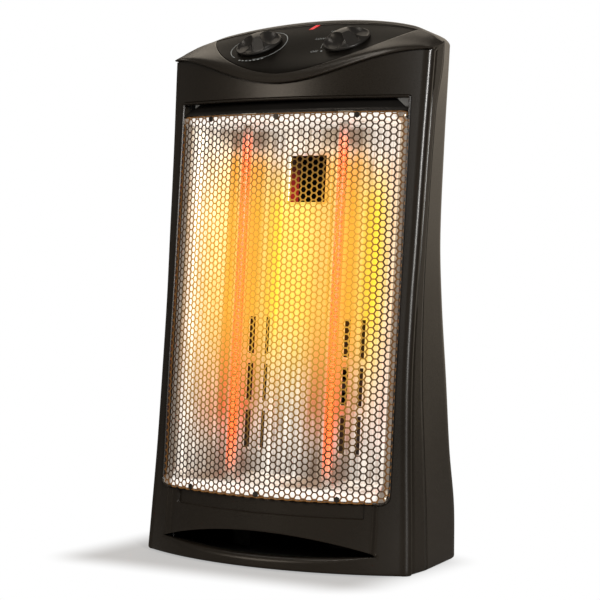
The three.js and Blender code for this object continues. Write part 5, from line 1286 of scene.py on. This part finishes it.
# Inside of the vent duct: dark all over, with painted red light from the tubes as emission lower down and
# none at the top.
def ductGlow():
    finish = Finish("ductGlow")
    z = finish.axes()[2]
    soot = finish.noise(60, 3)
    low = 1 - z.between(0.398, 0.432)
    return finish.set(BaseColor=finish.mix(soot, (0.03, 0.02, 0.015), (0.09, 0.06, 0.045)),
                      Roughness=soot * 0.2 + 0.4, Metallic=0.5, EmissionStrength=0.9,
                      EmissionColor=finish.mix(low * (soot * 0.4 + 0.7), (0.004, 0.001, 0.001),
                                               (0.4, 0.012, 0.01)))


# The shield is bare grey metal at its top corners, with a painted glow of light there as emission; lower
# down, behind the tray, it is dark brown, darker still at random.
def shieldSheet():
    finish = Finish("shieldSheet")
    z = finish.axes()[2]
    scorch = finish.noise(40, 3)
    bareLitTop = z.between(0.488, 0.491)
    tone = finish.mix(bareLitTop, (0.03, 0.017, 0.01), (0.5, 0.49, 0.46))
    return finish.set(BaseColor=finish.mix(scorch * 0.4, tone, (0.02, 0.012, 0.008)),
                      Roughness=scorch * 0.3 + 0.35, Metallic=0.4, EmissionStrength=0.5,
                      EmissionColor=finish.mix(bareLitTop, (0.0, 0.0, 0.0), (0.12, 0.12, 0.115)))


# Everything that the model carries over gets its finish by its record slot, or by its own name.
slotFinishes = {
    "galvanised": galvanised, "steel": satinSteel, "ceramic": ceramic, "black_plastic": blackPlastic,
    "rubber": footRubber, "dark_screw": darkScrew, "guard_wire": slotSteel, "knob": knobPlastic,
    "shell": shellPlastic, "panel": panelPlastic, "red_lens": lensRed(), "quartz": glass,
    "coil_wire": wireFinish, "reflector_sheet": galvanised}
ownFinishes = {"vent_duct": ductGlow(), "heat_shield": shieldSheet()}
# The fan's parts are made near-black steel as painted shade, so that they show dark through the tray's
# slots.
fanShadeSteel = sheetMetal("paintedShadeSteel", (0.03, 0.028, 0.026), (0.07, 0.066, 0.06), 0.5, 0.7)
ownFinishes.update({name: fanShadeSteel for name in ("fan_impeller", "fan_motor", "fan_shroud", "fan_shaft")})
for part in frame["record"]["subparts"]:
    piece = frame["nodes"].get(part["node"])
    finish = ownFinishes.get(part["node"], slotFinishes.get(part["material_slot"]))
    if piece is not None and finish is not None:
        piece.data.materials.clear()
        piece.data.materials.append(finish)

# Camera, lights and floor. The view's distance and target are millimetres, the lamps' values metres.
view = {"azimuth": 32.5, "drop": 2.5, "distance": 2184, "target": (1.0, -3.5, 282.2), "lens": 120,
        "sensor": 36}
lamps = {
    "key": {"place": (-1.1, -1.7, 1.0), "size": (0.7, 0.9), "power": 7.5, "colour": (1, 0.87, 0.72)},
    "strip": {"place": (1.8, -1.5, 1.0), "size": (0.24, 0.55), "power": 46, "colour": (1, 0.98, 0.95)},
    "back": {"place": (-0.1, 2.0, 0.85), "size": (3.2, 2.0), "power": 11, "colour": (1, 0.86, 0.68)},
    "crown": {"place": (-0.97, 1.1, 1.6), "size": (1.2, 0.7), "power": 2.3, "colour": (1, 0.88, 0.72)},
    "above": {"place": (-0.35, -0.6, 2.0), "size": (0.5, 0.4), "power": 3.5, "colour": (1, 0.92, 0.82)},
}
# Among these, the floor's painted shadow: halfWidth, halfDepth, fade, shade and shadowMiddle.
studio = {"halfWidth": 0.15, "halfDepth": 0.075, "fade": 0.075, "shade": 0.45, "ambient": 0.12,
          "mirrored": 0.1, "shadowMiddle": (-0.03, -0.035), "lampTarget": (0, 0, 0.28), "floor": 8,
          "warm": (1, 0.92, 0.82)}

angle, drop = math.radians(view["azimuth"]), math.radians(view["drop"])
towards = Vector((math.sin(angle) * math.cos(drop), -math.cos(angle) * math.cos(drop), math.sin(drop)))
camera = linked("camera", bpy.data.cameras.new("camera"))
camera.data.lens, camera.data.sensor_width = view["lens"], view["sensor"]
camera.location = Vector(view["target"]) * mm + towards * view["distance"] * mm
camera.rotation_euler = (-towards).to_track_quat("-Z", "Y").to_euler()
bpy.context.scene.camera = camera

for name, values in lamps.items():
    lamp = linked(name, bpy.data.lights.new(name, "AREA"))
    lamp.data.shape = "RECTANGLE"
    lamp.data.size, lamp.data.size_y = values["size"]
    lamp.data.energy, lamp.data.color = values["power"], values["colour"]
    lamp.location = values["place"]
    lamp.rotation_euler = (Vector(studio["lampTarget"]) - lamp.location).to_track_quat("-Z", "Y").to_euler()
    lamp.visible_camera = False


# The light path's answers to what a ray is.
def rays(finish, *names):
    path = finish.node("ShaderNodeLightPath", {}, {}, names[0])
    return [Wire(finish, path.socket.node.outputs[name]) for name in names]


# White where the camera looks, with a painted shadow near its feet: within a rectangle about the shadow's
# middle, part of the white gives way to the floor's dim lit shading, which also holds the object's own soft
# shadow. The distance from the shadow's rectangle, by the root of its squares, fades it out.
def paleFloor():
    finish = Finish("paleFloor", Roughness=0.9, BaseColor=(0.32, 0.30, 0.28))
    camera, through = rays(finish, "Is Camera Ray", "Is Transmission Ray")
    x, y, z = finish.axes()
    middleX, middleY = studio["shadowMiddle"]
    beside = ((x - middleX).away() - studio["halfWidth"]).larger(0)
    behind = ((y - middleY).away() - studio["halfDepth"]).larger(0)
    far = (beside ** 2 + behind ** 2).maths("SQRT").between(0, studio["fade"])
    white = finish.node("ShaderNodeEmission", {}, {"Color": (1, 1, 1), "Strength": 1.0})
    share = camera.larger(through) * (far * (1 - studio["shade"]) + studio["shade"])
    mixed = finish.node("ShaderNodeMixShader", {}, [share, Wire(finish, finish.surface.outputs[0]), white])
    finish.tree.links.new(mixed.socket, finish.tree.nodes["Material Output"].inputs["Surface"])
    return finish.material


floorMesh = bpy.data.meshes.new("floor")
far = studio["floor"]
floorMesh.from_pydata([(-far, -far, 0), (far, -far, 0), (far, far, 0), (-far, far, 0)], [], [(0, 1, 2, 3)])
floor = linked("floor", floorMesh)
floor.data.materials.append(paleFloor())

world = bpy.data.worlds.new("studio")
bpy.context.scene.world = world
sky = Finish("studio", owner=world)
background = sky.tree.nodes["Background"]
camera, glossy, through = rays(sky, "Is Camera Ray", "Is Glossy Ray", "Is Transmission Ray")
seen = camera.larger(through)
bright = seen.larger(glossy * studio["mirrored"])
sky.feed(background.inputs["Color"], sky.mix(seen, studio["warm"], (1, 1, 1)))
sky.feed(background.inputs["Strength"], bright.larger(studio["ambient"]))
bpy.context.scene.view_settings.view_transform = "Standard"
print("camera, lamps and floor made")
